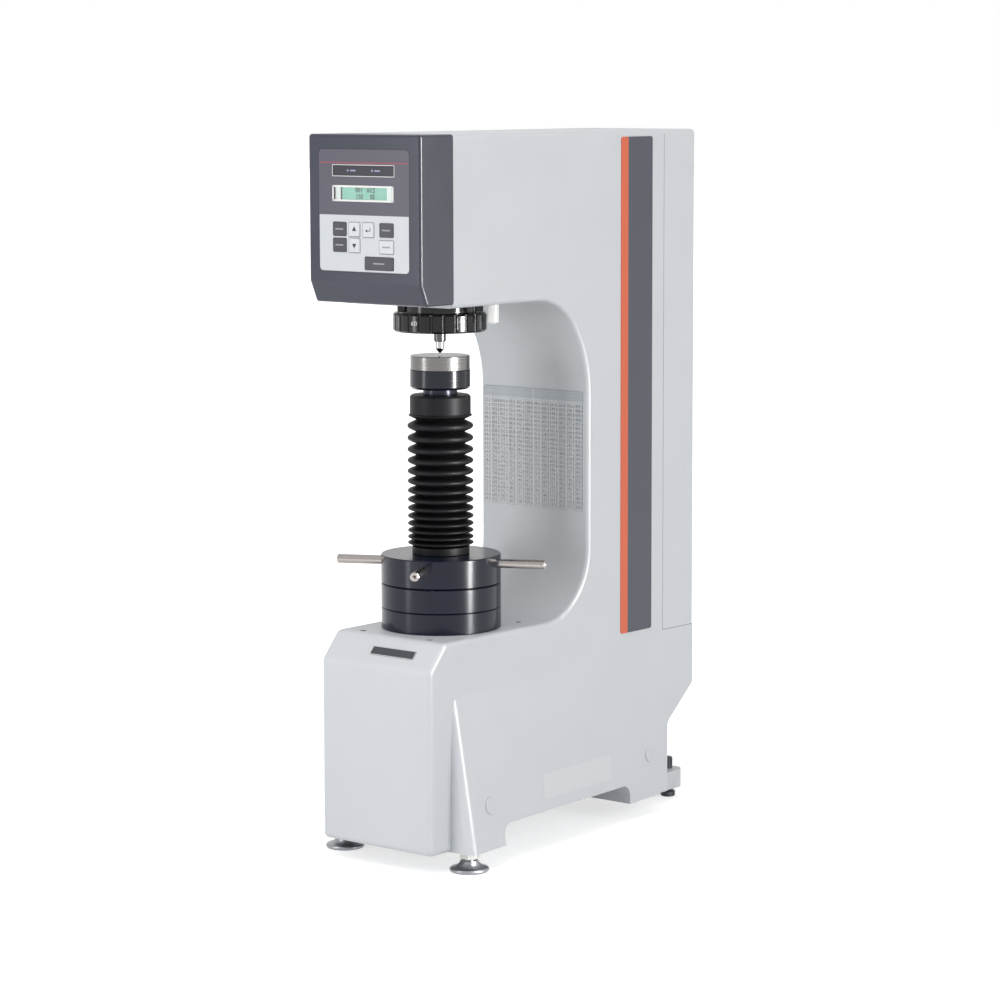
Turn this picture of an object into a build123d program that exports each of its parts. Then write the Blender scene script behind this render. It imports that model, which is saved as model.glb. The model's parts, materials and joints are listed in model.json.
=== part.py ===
"""Bench hardness tester: C-shaped frame, dead-weight lever in the head, elevating screw in the base.

Millimetres, +Z up. Everything is designed about the load axis, the vertical line through indenter,
anvil and screw, with X = Y = 0 there, -Y the front and Z = 0 the bench. save() moves the whole machine
along Y, so that the written parts have their origin on the bench under the middle of the machine.
"""

from build123d import *
from math import atan2, cos, degrees, radians, sin
import os

# ---------------------------------------------------------------- driving dimensions
# Frame, seen from the side
HEIGHT = 780.0              # bench to top of the head
BODY_WIDTH = 154.0          # head, column and base top
WALL = 8.0                  # casting wall
EDGE_R = 5.0                # rounding along the casting's side outlines
BASE_TOP = 247.0
HEAD_BOTTOM = 599.0
THROAT_WALL = 161.0         # load axis to the throat's upright wall
THROAT_TOP_A = 85.0         # throat's upper corner: basket arch, its reach along Y
THROAT_TOP_B = 105.0        # and along Z
THROAT_TOP_R = 74.0         # radius of its tight arc
THROAT_LOW_R = 75.0
HEAD_JOINT = 68.7           # load axis to the joint of casting and head cover
BASE_FRONT = 109.0
FACET_DEPTH = 25.0          # slanted facet above the base's front face
FACET_DROP = 28.4
BASE_CLEARANCE = 21.0       # bench to the underside of the legs
ARCH_TOP = 43.4
ARCH_CORNER_R = 13.0
FRONT_LEG_BACK = -14.0
REAR_LEG_FRONT = 232.0
LOWER_BACK = 312.0          # rear wall of the base
COLUMN_BACK = 360.0
COVER_JOINT = 298.5         # joint of casting and rear cover
COVER_FOOT = 212.0          # lower end of the rear cover
BACK_STEP_TOP = 142.0       # slope from the column's back in to the base's back
BACK_STEP_FOOT = 102.0

# Flared side of the base
FLARE = 30.0                # how far it stands out at the front, at the bottom
FLARE_TOP = 187.0
FLARE_FRONT = 75.0
FLARE_BACK = 296.0
FLARE_EDGE_R = 9.0

# Rear lugs
LUG_R = 15.0
LUG_X = 31.0
LUG_Y = 372.0
LUG_BOTTOM = 12.0
LUG_TOP = 33.0

# Feet
FOOT_X = 89.0
FOOT_Y = -60.0
FOOT_R = 21.2
FOOT_STEM_R = 6.0
FOOT_STEM_TOP = 55.0
FOOT_TRAVEL_UP = 2.0
FOOT_NUT_FLATS = 19.0
FOOT_NUT_H = 6.5
FOOT_RIM_R = 2.4            # rounding of the disc's rim
FOOT_HUB = 3.5              # how far the cone's top stands out from the stem
FOOT_BULGE = 1.6            # how far the cone's side is crowned
STUD_R = 5.0
STUD_TOP = 47.0
STUD_SOCKET_R = 2.6
STUD_SOCKET_DEPTH = 4.0
STUD_PAD_R = 8.5
STUD_PAD_H = 7.0

# Covers
COVER_SHEET = 2.5
BACK_EDGE_R = 7.0
HEAD_COVER_WIDTH = 156.0
HEAD_COVER_FRONT = 121.0
HEAD_COVER_BOTTOM = 603.0
HEAD_COVER_WALL = 3.0
HEAD_CHIN_TOP = 625.8
HEAD_CHIN_BACK = 10.0
HEAD_COVER_EDGE_R = 3.5
COVER_SCREW_X = 62.0
COVER_SCREW_R = 2.0
COVER_SCREW_HEAD_R = 3.8
COVER_SCREW_HEAD_H = 2.4
COVER_POST_R = 6.0
COVER_SCREW_L = 8.0
VENT_ROWS = 6
VENT_LOW = 330.0
VENT_PITCH = 9.0
VENT_X = 27.0
VENT_LENGTH = 40.0
VENT_H = 3.6

# Keypad, window and keys on the head cover's front
OVERLAY_HALF = 63.5
OVERLAY_LOW = 636.0
OVERLAY_HIGH = 765.0
OVERLAY_CORNER_R = 6.0
OVERLAY_T = 1.0
WINDOW = (-44.0, 41.6, 710.0, 727.0)            # left, right, bottom, top
INDICATOR = (-43.0, 42.0, 737.0, 747.7)
SEAT_LEDGE = 1.5                                # ledge that a window rests on, all round
KEYS = {                                        # node: left, right, bottom, top
    "key_menu": (-43.3, -24.3, 674.0, 688.5),
    "key_mode": (-43.3, -24.3, 657.3, 671.8),
    "key_up": (-20.5, -5.5, 674.0, 688.5),
    "key_down": (-20.5, -5.5, 657.3, 671.8),
    "key_enter": (-1.0, 14.0, 673.5, 688.5),
    "key_reset": (21.8, 41.2, 674.0, 688.5),
    "key_offset": (21.8, 41.2, 657.0, 670.5),
    "key_start": (1.0, 41.2, 639.5, 653.2),
}
KEY_CORNER_R = 1.5
KEY_PROUD = 0.8
KEY_GAP = 0.3               # all round a key, and in front of its flange
KEY_FLANGE = 1.2
KEY_STEM_R = 2.0
KEY_TRAVEL = 0.5
BOARD_FRONT = 104.0
BOARD_T = 1.6
BOARD_HALF = 62.0
BOARD_LOW = 640.0
BOARD_HIGH = 762.0
BOARD_POST_R = 4.0
BOARD_PARTS = (                                 # X, Z, width, height, depth of its parts
    (-30.0, 665.0, 22.0, 22.0, 3.0),
    (15.0, 665.0, 30.0, 12.0, 4.0),
    (-25.0, 740.0, 14.0, 30.0, 9.0),
    (25.0, 735.0, 18.0, 18.0, 3.0),
)
DISPLAY_FRAME = 4.0         # how far the display's block reaches past the window, up and down
DISPLAY_INSET = 2.0

# Elevating screw, its nut and the drum on the base
DRUM_R = 65.0
TIER_CHAMFER = 1.0
FLANGE_H = 23.0
BRAKE_H = 26.0
WHEEL_H = 31.0
WHEEL_GAP = 0.5             # between brake ring and handwheel
RUNNING = 0.05              # radial clearance of a running fit
SCREW_R = 18.5
SCREW_BELOW = 190.0         # lower end of the screw, at the top of its travel
SCREW_TRAVEL = 100.0
KEYWAY_W = 8.0
KEYWAY_DEPTH = 4.0
KEY_SIDE_GAP = 0.15
GUIDE_R = 26.0
GUIDE_LENGTH = 45.0
GUIDE_FLANGE_R = 40.0
GUIDE_FLANGE_T = 5.0
NUT_R = 27.0
NUT_FLANGE_R = 43.0
NUT_GAP = 1.0               # radial gap round the nut in the base flange
RACE_T = 4.5
RACE_IN = 29.0
BALL_R = 3.4
BALL_COUNT = 14
BALL_ROOM = 7.0             # height between the races
ROD_R = 5.0
ROD_REACH = 116.0
ROD_ROOT = 45.0
ROD_Z = 318.0
ROD_ANGLE = 26.5
ROD_COUNT = 4
ROD_CHAMFER = 0.8
CENTRE_R = 2.0              # centre drilled in each rod's end
CENTRE_DEPTH = 3.0
STIFFENER_T = 12.0
STIFFENER_EDGE = 11.0       # past the screws
STIFFENER_BEVEL = 6.0       # its front edge, to clear the facet's inner side
BASE_SCREW_X = 47.0
BASE_SCREW_Y = 74.0
BASE_SCREW_R = 4.0
BASE_SCREW_SINK = 0.5
BASE_SOCKET_R = 2.2
BASE_SOCKET_DEPTH = 3.0

# Anvil
NECK_TOP = 506.6
ANVIL_SEAT_R = 32.5
ANVIL_SEAT_H = 20.4
ANVIL_R = 32.0
ANVIL_H = 15.4
ANVIL_STEM_R = 9.5
ANVIL_STEM_L = 28.0
ANVIL_PIN_R = 6.0           # short pin under the anvil, in the seat's bore
ANVIL_PIN_L = 9.0
SEAT_BEVEL = 2.5

# Bellows
BELLOWS_R = 35.5
BELLOWS_VALLEY_R = 26.3
BELLOWS_WALL = 1.4
BELLOWS_LIP = 480.0         # where the collar ends and the folds start
BELLOWS_CUFF_H = 5.5
BELLOWS_CUFF_R = 31.0
BELLOWS_FOLDS = 15
TOP_PITCH = 12.8            # the folds close up evenly from this pitch
LOW_PITCH = 5.5             # to this one, under their own weight
COLLAR_R = 32.9
COLLAR_DROP = 6.6           # neck top to the collar's top
COLLAR_BEVEL = 2.0
SEAL_GAP = 0.6              # wheel to bellows cuff

# Spindle, dial and indenter
DIAL_R = 50.5
DIAL_LOW = 568.6
DIAL_H = 20.4
DIAL_BORE = 22.0
DIAL_FLUTES = 24
DIAL_FLUTE_R = 1.6
DIAL_CHAMFER = 2.0
DIAL_FLANGE_R = 40.0
DIAL_LUG_COUNT = 4
DIAL_LUG_R = 46.0
DIAL_LUG = (16.0, 20.0)     # radial length, width
DIAL_LUG_TURN = 45.0
DIAL_RELIEF = (9.0, 3.0)    # step under the dial: rim left, depth
DIAL_GAP = 0.6
SPINDLE_R = 14.0
SPINDLE_LOW = 572.0
SPINDLE_NOSE_R = 8.0
BUSH_R = 24.0
BUSH_FLANGE_R = 30.0
BUSH_FLANGE_T = 6.0
BOSS_R = 46.0
BOSS_TOP = 640.0
STOP_GAP = 0.3
COLLAR_T = 8.0
SPINDLE_COLLAR_R = 20.0
HOLDER_R = 6.5
HOLDER_LOW = 557.0
INDENTER_R = 4.9
TIP_FLAT_R = 0.3
CONE_TOP = 546.0
TIP_GAP = 2.1               # indenter point to anvil, at rest
LAMP_X = 64.5
LAMP_Y = 12.0
LAMP_R = 6.2
LAMP_H = 20.0

# Lever and weights
PIVOT_Y = -14.0
PIVOT_Z = 722.0
PIVOT_R = 5.0
HANGER_Y = 266.0
LEVER_W = 24.0
LEVER_FRONT = -30.0
LEVER_BACK = 282.0
LEVER_FRONT_LOW = 706.0
LEVER_FRONT_HIGH = 744.0
LEVER_BACK_LOW = 713.0
LEVER_BACK_HIGH = 733.0
LEVER_PAD_R = 6.0
LEVER_HOLE_R = 8.0
LEVER_HOLES = 6
LEVER_HOLE_STEP = 0.5       # each hole's radius is this much under the last one's
LEVER_FIRST_HOLE = 30.0     # Y
LEVER_END_R = 7.0
CHEEK_IN = 34.0
CHEEK_OUT = 42.0
CHEEK_FRONT = -30.0
CHEEK_BACK = 16.0
WEB_LOW = 690.0
WEB_T = 8.0
SPRING_R = 12.0
SPRING_WIRE_R = 1.5
SPRING_TURNS = 5
END_PIN_R = 4.0
EYE_R = 5.0
HANGER_PLATE_IN = 13.0
HANGER_PLATE_OUT = 17.0
HANGER_YOKE_LOW = 690.0
HANGER_YOKE_HIGH = 702.0
HANGER_ROD_R = 6.0
HANGER_LOW = 235.0
HANGER_FOOT_R = 28.0
HANGER_FOOT_T = 9.0
WEIGHT_R = 50.0
WEIGHT_H = 34.0
WEIGHT_COUNT = 3

# Drive
CAM_Y = 225.0
CAM_R = 16.0
CAM_OFFSET = 4.0
CAM_W = 16.0
CAM_GAP = 1.0               # lever to the cam's high side
MOTOR_R = 22.0
MOTOR_SHAFT_R = 4.0
MOTOR_LENGTH = 52.0

# Power supply and rear fittings
SUPPLY = (90.0, 80.0, 40.0)                     # X, Y, Z
SUPPLY_Y = 120.0
INLET = (28.0, 20.5)                            # rear opening, X by Z
INLET_X = 30.0
REAR_FITTING_Z = 262.0
FITTING_DEPTH = 22.0
BEZEL = 3.0
BEZEL_T = 2.0
BEZEL_R = 2.0
SWITCH = (13.0, 19.5)
SWITCH_X = -6.0
SWITCH_WALL = 1.5
SWITCH_GAP = 0.4
SWITCH_ROOM = 14.0          # depth of the frame's room for the rocker
ROCKER_LOW = 1.0            # how far the pressed end stands out from the column's back
ROCKER_DIP = 0.2
ROCKER_HIGH = 3.0
ROCKER_T = 4.0              # its depth behind the column's back
TRUNNION_R = 1.2
BLADE = (2.0, 12.0, 4.0)                        # inlet blade: X, Y, Z
BLADE_PLACES = ((-7.0, -2.0), (0.0, 2.5), (7.0, -2.0))
BLADE_BACK = 2.5            # how far the blades are set back from the column's back
INLET_WALL = 2.5
INLET_DEPTH = 16.0
INLET_BEVEL = 4.0

# Trims on the sides
TRIM_FRONT = 219.0
TRIM_BACK = 276.0
TRIM_LOW = 217.5
TRIM_HIGH = 773.0
TRIM_T = 0.8
PLUG_R = 9.5
PLUG_T = 1.6
PLUG_GAP = 0.1              # under the heads, where the flare is not quite flat
PLUG_STUB_R = 6.0
PLUG_STUB_L = 5.0
PLUG_PLACES = ((-32.7, 67.2), (273.5, 72.2))    # Y, Z
FIT_GAP = 0.1               # around pieces let into a cut-out

# ---------------------------------------------------------------- worked out from them
HALF = BODY_WIDTH / 2
INNER_HALF = HALF - WALL
REACH_FRONT = HEAD_COVER_FRONT + KEY_PROUD
REACH_BACK = LUG_Y + LUG_R
MIDDLE_Y = (REACH_BACK - REACH_FRONT) / 2

FLANGE_TOP = BASE_TOP + FLANGE_H
BRAKE_TOP = FLANGE_TOP + BRAKE_H
WHEEL_LOW = BRAKE_TOP + WHEEL_GAP
WHEEL_TOP = WHEEL_LOW + WHEEL_H
LOW_RACE_TOP = FLANGE_TOP + RACE_T
HIGH_RACE_LOW = LOW_RACE_TOP + BALL_ROOM
HIGH_RACE_TOP = HIGH_RACE_LOW + RACE_T
RACE_OUT = NUT_FLANGE_R
CUFF_LOW = WHEEL_TOP + SEAL_GAP
CUFF_TOP = CUFF_LOW + BELLOWS_CUFF_H
ANVIL_LOW = NECK_TOP + ANVIL_SEAT_H
ANVIL_TOP = ANVIL_LOW + ANVIL_H
DIAL_TOP = DIAL_LOW + DIAL_H
COLLAR_LOW = BOSS_TOP + BUSH_FLANGE_T + STOP_GAP
COLLAR_TOP = COLLAR_LOW + COLLAR_T
LEVER_SLOPE = (LEVER_BACK_LOW - LEVER_FRONT_LOW) / (LEVER_BACK - LEVER_FRONT)
LEVER_PAD_LOW = LEVER_FRONT_LOW - 3.0
SPINDLE_TOP = LEVER_PAD_LOW - STOP_GAP
INWARDS = (Align.CENTER, Align.MAX, Align.CENTER)     # a fitting that reaches in from the back
ROCKER_AXIS = (COLUMN_BACK - 1.0, REAR_FITTING_Z)     # Y, Z of its trunnions


# ---------------------------------------------------------------- helpers
def save(node, shape):
    """Write one sub-part, moved so that the origin is under the middle of the machine."""
    export_step(Pos(0, -MIDDLE_Y, 0) * shape, f"parts/{node}.step")


def turned(r_out, low, high, r_in=0.0, x=0.0, y=0.0):
    """Upright cylinder or ring from low to high."""
    ring = Cylinder(r_out, high - low, align=(Align.CENTER, Align.CENTER, Align.MIN))
    if r_in:
        ring -= Cylinder(r_in, high - low, align=(Align.CENTER, Align.CENTER, Align.MIN))
    return Pos(x, y, low) * ring


def block(x_low, x_high, y_low, y_high, z_low, z_high):
    """Box between two corners."""
    size = (x_high - x_low, y_high - y_low, z_high - z_low)
    return Pos((x_low + x_high) / 2, (y_low + y_high) / 2, (z_low + z_high) / 2) * Box(*size)


def along_x(radius, x_low, x_high, y, z):
    """Cylinder that lies along X."""
    return Pos((x_low + x_high) / 2, y, z) * Rot(0, 90, 0) * Cylinder(radius, x_high - x_low)


def revolved(points):
    """Solid of revolution about the load axis, from (radius, height) points."""
    return revolve(Plane.XZ * make_face(Polyline(*points, close=True)), Axis.Z)


def front_plate(left, right, low, high, y_front, thickness, corner_r):
    """Plate with rounded corners, facing -Y, whose front is at y_front."""
    width, height = right - left, high - low
    outline = RectangleRounded(width, height, corner_r) if corner_r else Rectangle(width, height)
    plane = Plane(origin=((left + right) / 2, y_front, (low + high) / 2), x_dir=(1, 0, 0), z_dir=(0, -1, 0))
    return extrude(plane * outline, -thickness)


def grown(area, by):
    """A (left, right, low, high) area with all its sides moved out."""
    left, right, low, high = area
    return left - by, right + by, low - by, high + by


def chamfered_edges(shape, radius, size):
    """Chamfer every circular edge of this radius."""
    edges = [e for e in shape.edges().filter_by(GeomType.CIRCLE) if abs(e.radius - radius) < 1e-3]
    return chamfer(edges, size)


# ---------------------------------------------------------------- frame casting
def side_profile():
    """The casting's side outline as a face in the YZ plane."""
    arch_start = (THROAT_WALL - THROAT_TOP_A, HEAD_BOTTOM)
    low_centre = (THROAT_WALL - THROAT_LOW_R, BASE_TOP + THROAT_LOW_R)
    # The throat's top corner is a basket arch: a tight arc, then a wide one, all tangent.
    tight, rise = THROAT_TOP_R, THROAT_TOP_B - THROAT_TOP_R
    wide = (THROAT_TOP_A ** 2 + rise ** 2 - tight ** 2) / (2 * (THROAT_TOP_A - tight))
    turn = degrees(atan2(wide - THROAT_TOP_A, rise))
    with BuildSketch(Plane.YZ) as sketch:
        with BuildLine():
            Polyline(
                (low_centre[0], BASE_TOP),
                (FACET_DEPTH - BASE_FRONT, BASE_TOP),
                (-BASE_FRONT, BASE_TOP - FACET_DROP),
                (-BASE_FRONT, BASE_CLEARANCE),
                (FRONT_LEG_BACK, BASE_CLEARANCE),
                (FRONT_LEG_BACK, ARCH_TOP),
                (REAR_LEG_FRONT, ARCH_TOP),
                (REAR_LEG_FRONT, BASE_CLEARANCE),
                (LOWER_BACK, BASE_CLEARANCE),
                (LOWER_BACK, BACK_STEP_FOOT),
                (COLUMN_BACK, BACK_STEP_TOP),
                (COLUMN_BACK, COVER_FOOT),
                (COVER_JOINT, COVER_FOOT),
                (COVER_JOINT, HEIGHT),
                (-HEAD_JOINT, HEIGHT),
                (-HEAD_JOINT, HEAD_BOTTOM),
                arch_start,
            )
            tight_arc = JernArc(arch_start, (1, 0), tight, -turn)
            wide_arc = JernArc(tight_arc @ 1, tight_arc % 1, wide, turn - 90)
            Line(wide_arc @ 1, (THROAT_WALL, low_centre[1]))
            CenterArc(low_centre, THROAT_LOW_R, 0, -90)
        make_face()
        rounded = {
            (FACET_DEPTH - BASE_FRONT, BASE_TOP): 10.0,
            (-BASE_FRONT, BASE_TOP - FACET_DROP): 10.0,
            (-BASE_FRONT, BASE_CLEARANCE): 6.0,
            (FRONT_LEG_BACK, ARCH_TOP): ARCH_CORNER_R,
            (REAR_LEG_FRONT, ARCH_TOP): ARCH_CORNER_R,
            (LOWER_BACK, BACK_STEP_FOOT): 10.0,
            (COLUMN_BACK, BACK_STEP_TOP): 10.0,
        }
        for (y, z), radius in rounded.items():
            corner = sketch.vertices().sort_by_distance((y, z, 0))[0]
            fillet(corner, radius)
    return sketch.sketch


def flare(side):
    """Wedge that widens the base towards the front and the bench; side is 1 or -1."""
    inner = HALF - 2 * WALL

    def section(y, stand_out):
        points = [(inner, FLARE_TOP), (HALF, FLARE_TOP), (HALF + stand_out, BASE_CLEARANCE),
                  (inner, BASE_CLEARANCE)]
        upright = Plane(origin=(0, y, 0), x_dir=(1, 0, 0), z_dir=(0, -1, 0))
        return upright * make_face(Polyline(*points, close=True))

    wedge = loft([section(-FLARE_FRONT, FLARE), section(FLARE_BACK, 0.05)], ruled=True)
    front_edges = wedge.edges().filter_by(lambda e: abs(e.center().Y + FLARE_FRONT) < 0.01)
    slanted = front_edges.sort_by(lambda e: e.center().X)[-1]
    wedge = fillet(slanted, FLARE_EDGE_R)
    arch = side_arch()
    wedge -= arch
    return wedge if side > 0 else mirror(wedge, about=Plane.YZ)


def side_arch():
    """The space under the belly, right through the flared sides."""
    height = ARCH_TOP - BASE_CLEARANCE
    tall = height + 2 * ARCH_CORNER_R
    width = REAR_LEG_FRONT - FRONT_LEG_BACK
    face = Plane.YZ * Pos((REAR_LEG_FRONT + FRONT_LEG_BACK) / 2, ARCH_TOP - tall / 2)
    return extrude(face * RectangleRounded(width, tall, ARCH_CORNER_R), HALF + FLARE + WALL, both=True)


def rear_lug(side):
    """Lug that holds a rear levelling stud."""
    x = side * LUG_X
    tongue = block(x - LUG_R, x + LUG_R, LOWER_BACK - WALL, LUG_Y, LUG_BOTTOM, LUG_TOP)
    return tongue + turned(LUG_R, LUG_BOTTOM, LUG_TOP, x=x, y=LUG_Y)


def frame_casting():
    """The C-frame: one hollow casting from the head to the legs."""
    profile = side_profile()
    body = extrude(profile, HALF, both=True)

    def is_joint(edge):
        """Edges where a cover meets the casting flush stay sharp."""
        c = edge.center()
        on_rear_joint = abs(c.Y - COVER_JOINT) < 0.01 or (c.Y > COVER_JOINT and abs(c.Z - COVER_FOOT) < 0.01)
        return on_rear_joint or abs(c.Y + HEAD_JOINT) < 0.01

    for side in (Axis.X, -Axis.X):
        outline = body.faces().sort_by(side)[-1].edges()
        body = fillet([e for e in outline if not is_joint(e)], EDGE_R)

    for side in (1, -1):
        body += flare(side)
        body += rear_lug(side)

    hollow = offset(profile, amount=-WALL, kind=Kind.INTERSECTION)
    head_mouth = block(-INNER_HALF, INNER_HALF, -HEAD_JOINT - 1, -HEAD_JOINT + 2 * WALL,
                       HEAD_BOTTOM + WALL, HEIGHT - WALL)
    back_mouth = block(-INNER_HALF, INNER_HALF, COVER_JOINT - 2 * WALL, COVER_JOINT + 1,
                       COVER_FOOT + WALL, HEIGHT - WALL)
    body -= extrude(hollow, INNER_HALF, both=True) + head_mouth + back_mouth

    body += turned(BOSS_R, HEAD_BOTTOM + WALL / 2, BOSS_TOP)
    body -= turned(BUSH_R, HEAD_BOTTOM - 1, BOSS_TOP + 1)
    body -= turned(GUIDE_R, BASE_TOP - WALL - 1, BASE_TOP + 1)
    for x, y in base_screw_places():
        body -= turned(BASE_SCREW_R, BASE_TOP - WALL - 1, BASE_TOP + 1, x=x, y=y)
    for side in (1, -1):
        for z in cover_screw_heights():
            low, high = sorted((side * (COVER_SCREW_X - COVER_POST_R), side * (INNER_HALF + 1)))
            body += block(low, high, COVER_JOINT - 3 * WALL, COVER_JOINT - WALL,
                          z - COVER_POST_R, z + COVER_POST_R)
            body += post(side * COVER_SCREW_X, COVER_JOINT - 2 * WALL, COLUMN_BACK - COVER_SHEET, z)
            body -= cover_screw_hole(side * COVER_SCREW_X, z)
        body -= turned(FOOT_STEM_R + RUNNING, 0, FOOT_STEM_TOP + WALL, x=side * FOOT_X, y=FOOT_Y)
        body -= turned(STUD_R + RUNNING, 0, LUG_TOP + 1, x=side * LUG_X, y=LUG_Y)
    for plug in plug_planes():
        hole = Cylinder(PLUG_STUB_R, PLUG_STUB_L + 2 * PLUG_T)
        body -= plug * Pos(0, 0, PLUG_T - PLUG_STUB_L / 2) * hole
    return body


def post(x, y_low, y_high, z):
    """Round post along Y."""
    return Pos(x, (y_low + y_high) / 2, z) * Rot(90, 0, 0) * Cylinder(COVER_POST_R, y_high - y_low)


def base_screw_places():
    """Screws in the base top, around the drum."""
    return [(sx * BASE_SCREW_X, sy * BASE_SCREW_Y) for sx in (1, -1) for sy in (1, -1)]


def cover_screw_heights():
    """Heights of the rear cover's screws."""
    return (COVER_FOOT + 3 * WALL, (COVER_FOOT + HEIGHT) / 2, HEIGHT - 3 * WALL)


def cover_screw_hole(x, z):
    """Tapped hole in a post, as deep as the screw's shank needs."""
    depth = 5 * COVER_SCREW_R
    back = COLUMN_BACK - COVER_SHEET
    return Pos(x, back - depth / 2, z) * Rot(90, 0, 0) * Cylinder(COVER_SCREW_R, depth)


def flare_x(y, z):
    """Distance of the flared side's surface from the middle plane."""
    if z >= FLARE_TOP or y >= FLARE_BACK:
        return HALF
    along = (FLARE_BACK - y) / (FLARE_BACK + FLARE_FRONT)
    return HALF + FLARE * along * (FLARE_TOP - z) / (FLARE_TOP - BASE_CLEARANCE)


def plug_planes():
    """Planes on the flared sides, normal outwards, for the lifting-hole plugs."""
    planes = []
    for y, z in PLUG_PLACES:
        dx_dy = flare_x(y + 1, z) - flare_x(y, z)
        dx_dz = flare_x(y, z + 1) - flare_x(y, z)
        for side in (1, -1):
            planes.append(Plane(origin=(side * flare_x(y, z), y, z), z_dir=(side, -dx_dy, -dx_dz)))
    return planes


def lifting_plugs():
    """Push-in plugs that close the holes for the lifting bars."""
    plugs = []
    for plane in plug_planes():
        head = Cylinder(PLUG_R, PLUG_T, align=(Align.CENTER, Align.CENTER, Align.MIN))
        head = fillet(head.edges().sort_by(Axis.Z)[-1], PLUG_T / 2)
        stub = Cylinder(PLUG_STUB_R, PLUG_STUB_L, align=(Align.CENTER, Align.CENTER, Align.MAX))
        plugs.append(plane * Pos(0, 0, PLUG_GAP) * (head + stub))
    return Compound(plugs)


# ---------------------------------------------------------------- covers
def rear_cover():
    """Bent cover that closes the back of the column."""
    shell = block(-HALF, HALF, COVER_JOINT, COLUMN_BACK, COVER_FOOT, HEIGHT)
    upright = shell.edges().filter_by(Axis.Z).group_by(Axis.Y)[-1]
    shell = fillet(upright, BACK_EDGE_R)
    rims = shell.faces().sort_by(Axis.Z)[-1].edges()
    shell = fillet([e for e in rims if e.center().Y > COVER_JOINT + 1], EDGE_R)
    inside = block(-HALF + COVER_SHEET, HALF - COVER_SHEET, COVER_JOINT - 1, COLUMN_BACK - COVER_SHEET,
                   COVER_FOOT - 1, HEIGHT - COVER_SHEET)
    inside = fillet(inside.edges().filter_by(Axis.Z).group_by(Axis.Y)[-1], BACK_EDGE_R - COVER_SHEET)
    shell -= inside
    for side in (1, -1):
        for z in cover_screw_heights():
            hole = Cylinder(COVER_SCREW_R + FIT_GAP, 4 * COVER_SHEET)
            shell -= Pos(side * COVER_SCREW_X, COLUMN_BACK, z) * Rot(90, 0, 0) * hole
    for (width, height), x in ((INLET, INLET_X), (SWITCH, SWITCH_X)):
        opening = Box(width, 4 * COVER_SHEET, height)
        shell -= Pos(x, COLUMN_BACK, REAR_FITTING_Z) * opening
    for row in range(VENT_ROWS):
        z = VENT_LOW + row * VENT_PITCH
        for side in (1, -1):
            slot = Pos(side * VENT_X, COLUMN_BACK, z) * Rot(90, 0, 0)
            shell -= extrude(slot * SlotOverall(VENT_LENGTH, VENT_H), 2 * COVER_SHEET, both=True)
    return shell


def rear_cover_screws():
    """Pan-head screws of the rear cover."""
    screws = []
    for side in (1, -1):
        for z in cover_screw_heights():
            head = turned(COVER_SCREW_HEAD_R, 0, COVER_SCREW_HEAD_H)
            head = fillet(head.edges().sort_by(Axis.Z)[-1], COVER_SCREW_HEAD_H / 2)
            shank = turned(COVER_SCREW_R, -COVER_SCREW_L, 0)
            place = Pos(side * COVER_SCREW_X, COLUMN_BACK, z) * Rot(-90, 0, 0)
            screws.append(place * (head + shank))
    return Compound(screws)


def head_cover():
    """Moulded dark cover on the front of the head, with the keypad's pocket."""
    half = HEAD_COVER_WIDTH / 2
    front = -HEAD_COVER_FRONT

    def outline(grow):
        """Side outline, moved in by -grow."""
        points = [
            (-HEAD_JOINT, HEIGHT + grow),
            (front - grow, HEIGHT + grow),
            (front - grow, HEAD_CHIN_TOP - grow / 4),
            (front + HEAD_CHIN_BACK - grow / 2, HEAD_COVER_BOTTOM - grow),
            (-HEAD_JOINT, HEAD_COVER_BOTTOM - grow),
        ]
        return Plane.YZ * make_face(Polyline(*points, close=True))

    shell = extrude(outline(0), half, both=True)
    rim = [e for e in shell.edges() if e.center().Y < -HEAD_JOINT - 1]
    shell = fillet(rim, HEAD_COVER_EDGE_R)
    shell -= extrude(outline(-HEAD_COVER_WALL), half - HEAD_COVER_WALL, both=True)

    for x in (-1, 1):
        for z in (BOARD_LOW + 2 * BOARD_POST_R, BOARD_HIGH - BOARD_POST_R - 1):
            length = HEAD_COVER_FRONT - HEAD_COVER_WALL / 2 - BOARD_FRONT
            stub = Rot(90, 0, 0) * Cylinder(BOARD_POST_R, length)
            shell += Pos(x * (BOARD_HALF - BOARD_POST_R), -BOARD_FRONT - length / 2, z) * stub
    pocket = grown((-OVERLAY_HALF, OVERLAY_HALF, OVERLAY_LOW, OVERLAY_HIGH), FIT_GAP)
    shell -= front_plate(*pocket, front - 1, OVERLAY_T + 1, OVERLAY_CORNER_R)
    for area in (WINDOW, INDICATOR):
        shell -= front_plate(*grown(area, -SEAT_LEDGE), front - 1, 2 * HEAD_COVER_WALL, 0)
    for area in KEYS.values():
        shell -= front_plate(*grown(area, KEY_GAP), front - 1, 2 * HEAD_COVER_WALL, KEY_CORNER_R)
    return shell


def keypad_overlay():
    """Thin printed plate with openings for the windows and the keys."""
    plate = front_plate(-OVERLAY_HALF, OVERLAY_HALF, OVERLAY_LOW, OVERLAY_HIGH, -HEAD_COVER_FRONT, OVERLAY_T,
                        OVERLAY_CORNER_R)
    for area in (WINDOW, INDICATOR):
        plate -= front_plate(*grown(area, FIT_GAP), 1 - HEAD_COVER_FRONT - 2, 4, 0)
    for area in KEYS.values():
        plate -= front_plate(*grown(area, KEY_GAP), 1 - HEAD_COVER_FRONT - 2, 4, KEY_CORNER_R)
    return plate


def window_pane(area):
    """Pane that lies on the pocket's ledge, flush with the overlay."""
    return front_plate(*area, -HEAD_COVER_FRONT, OVERLAY_T, 0)


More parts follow.
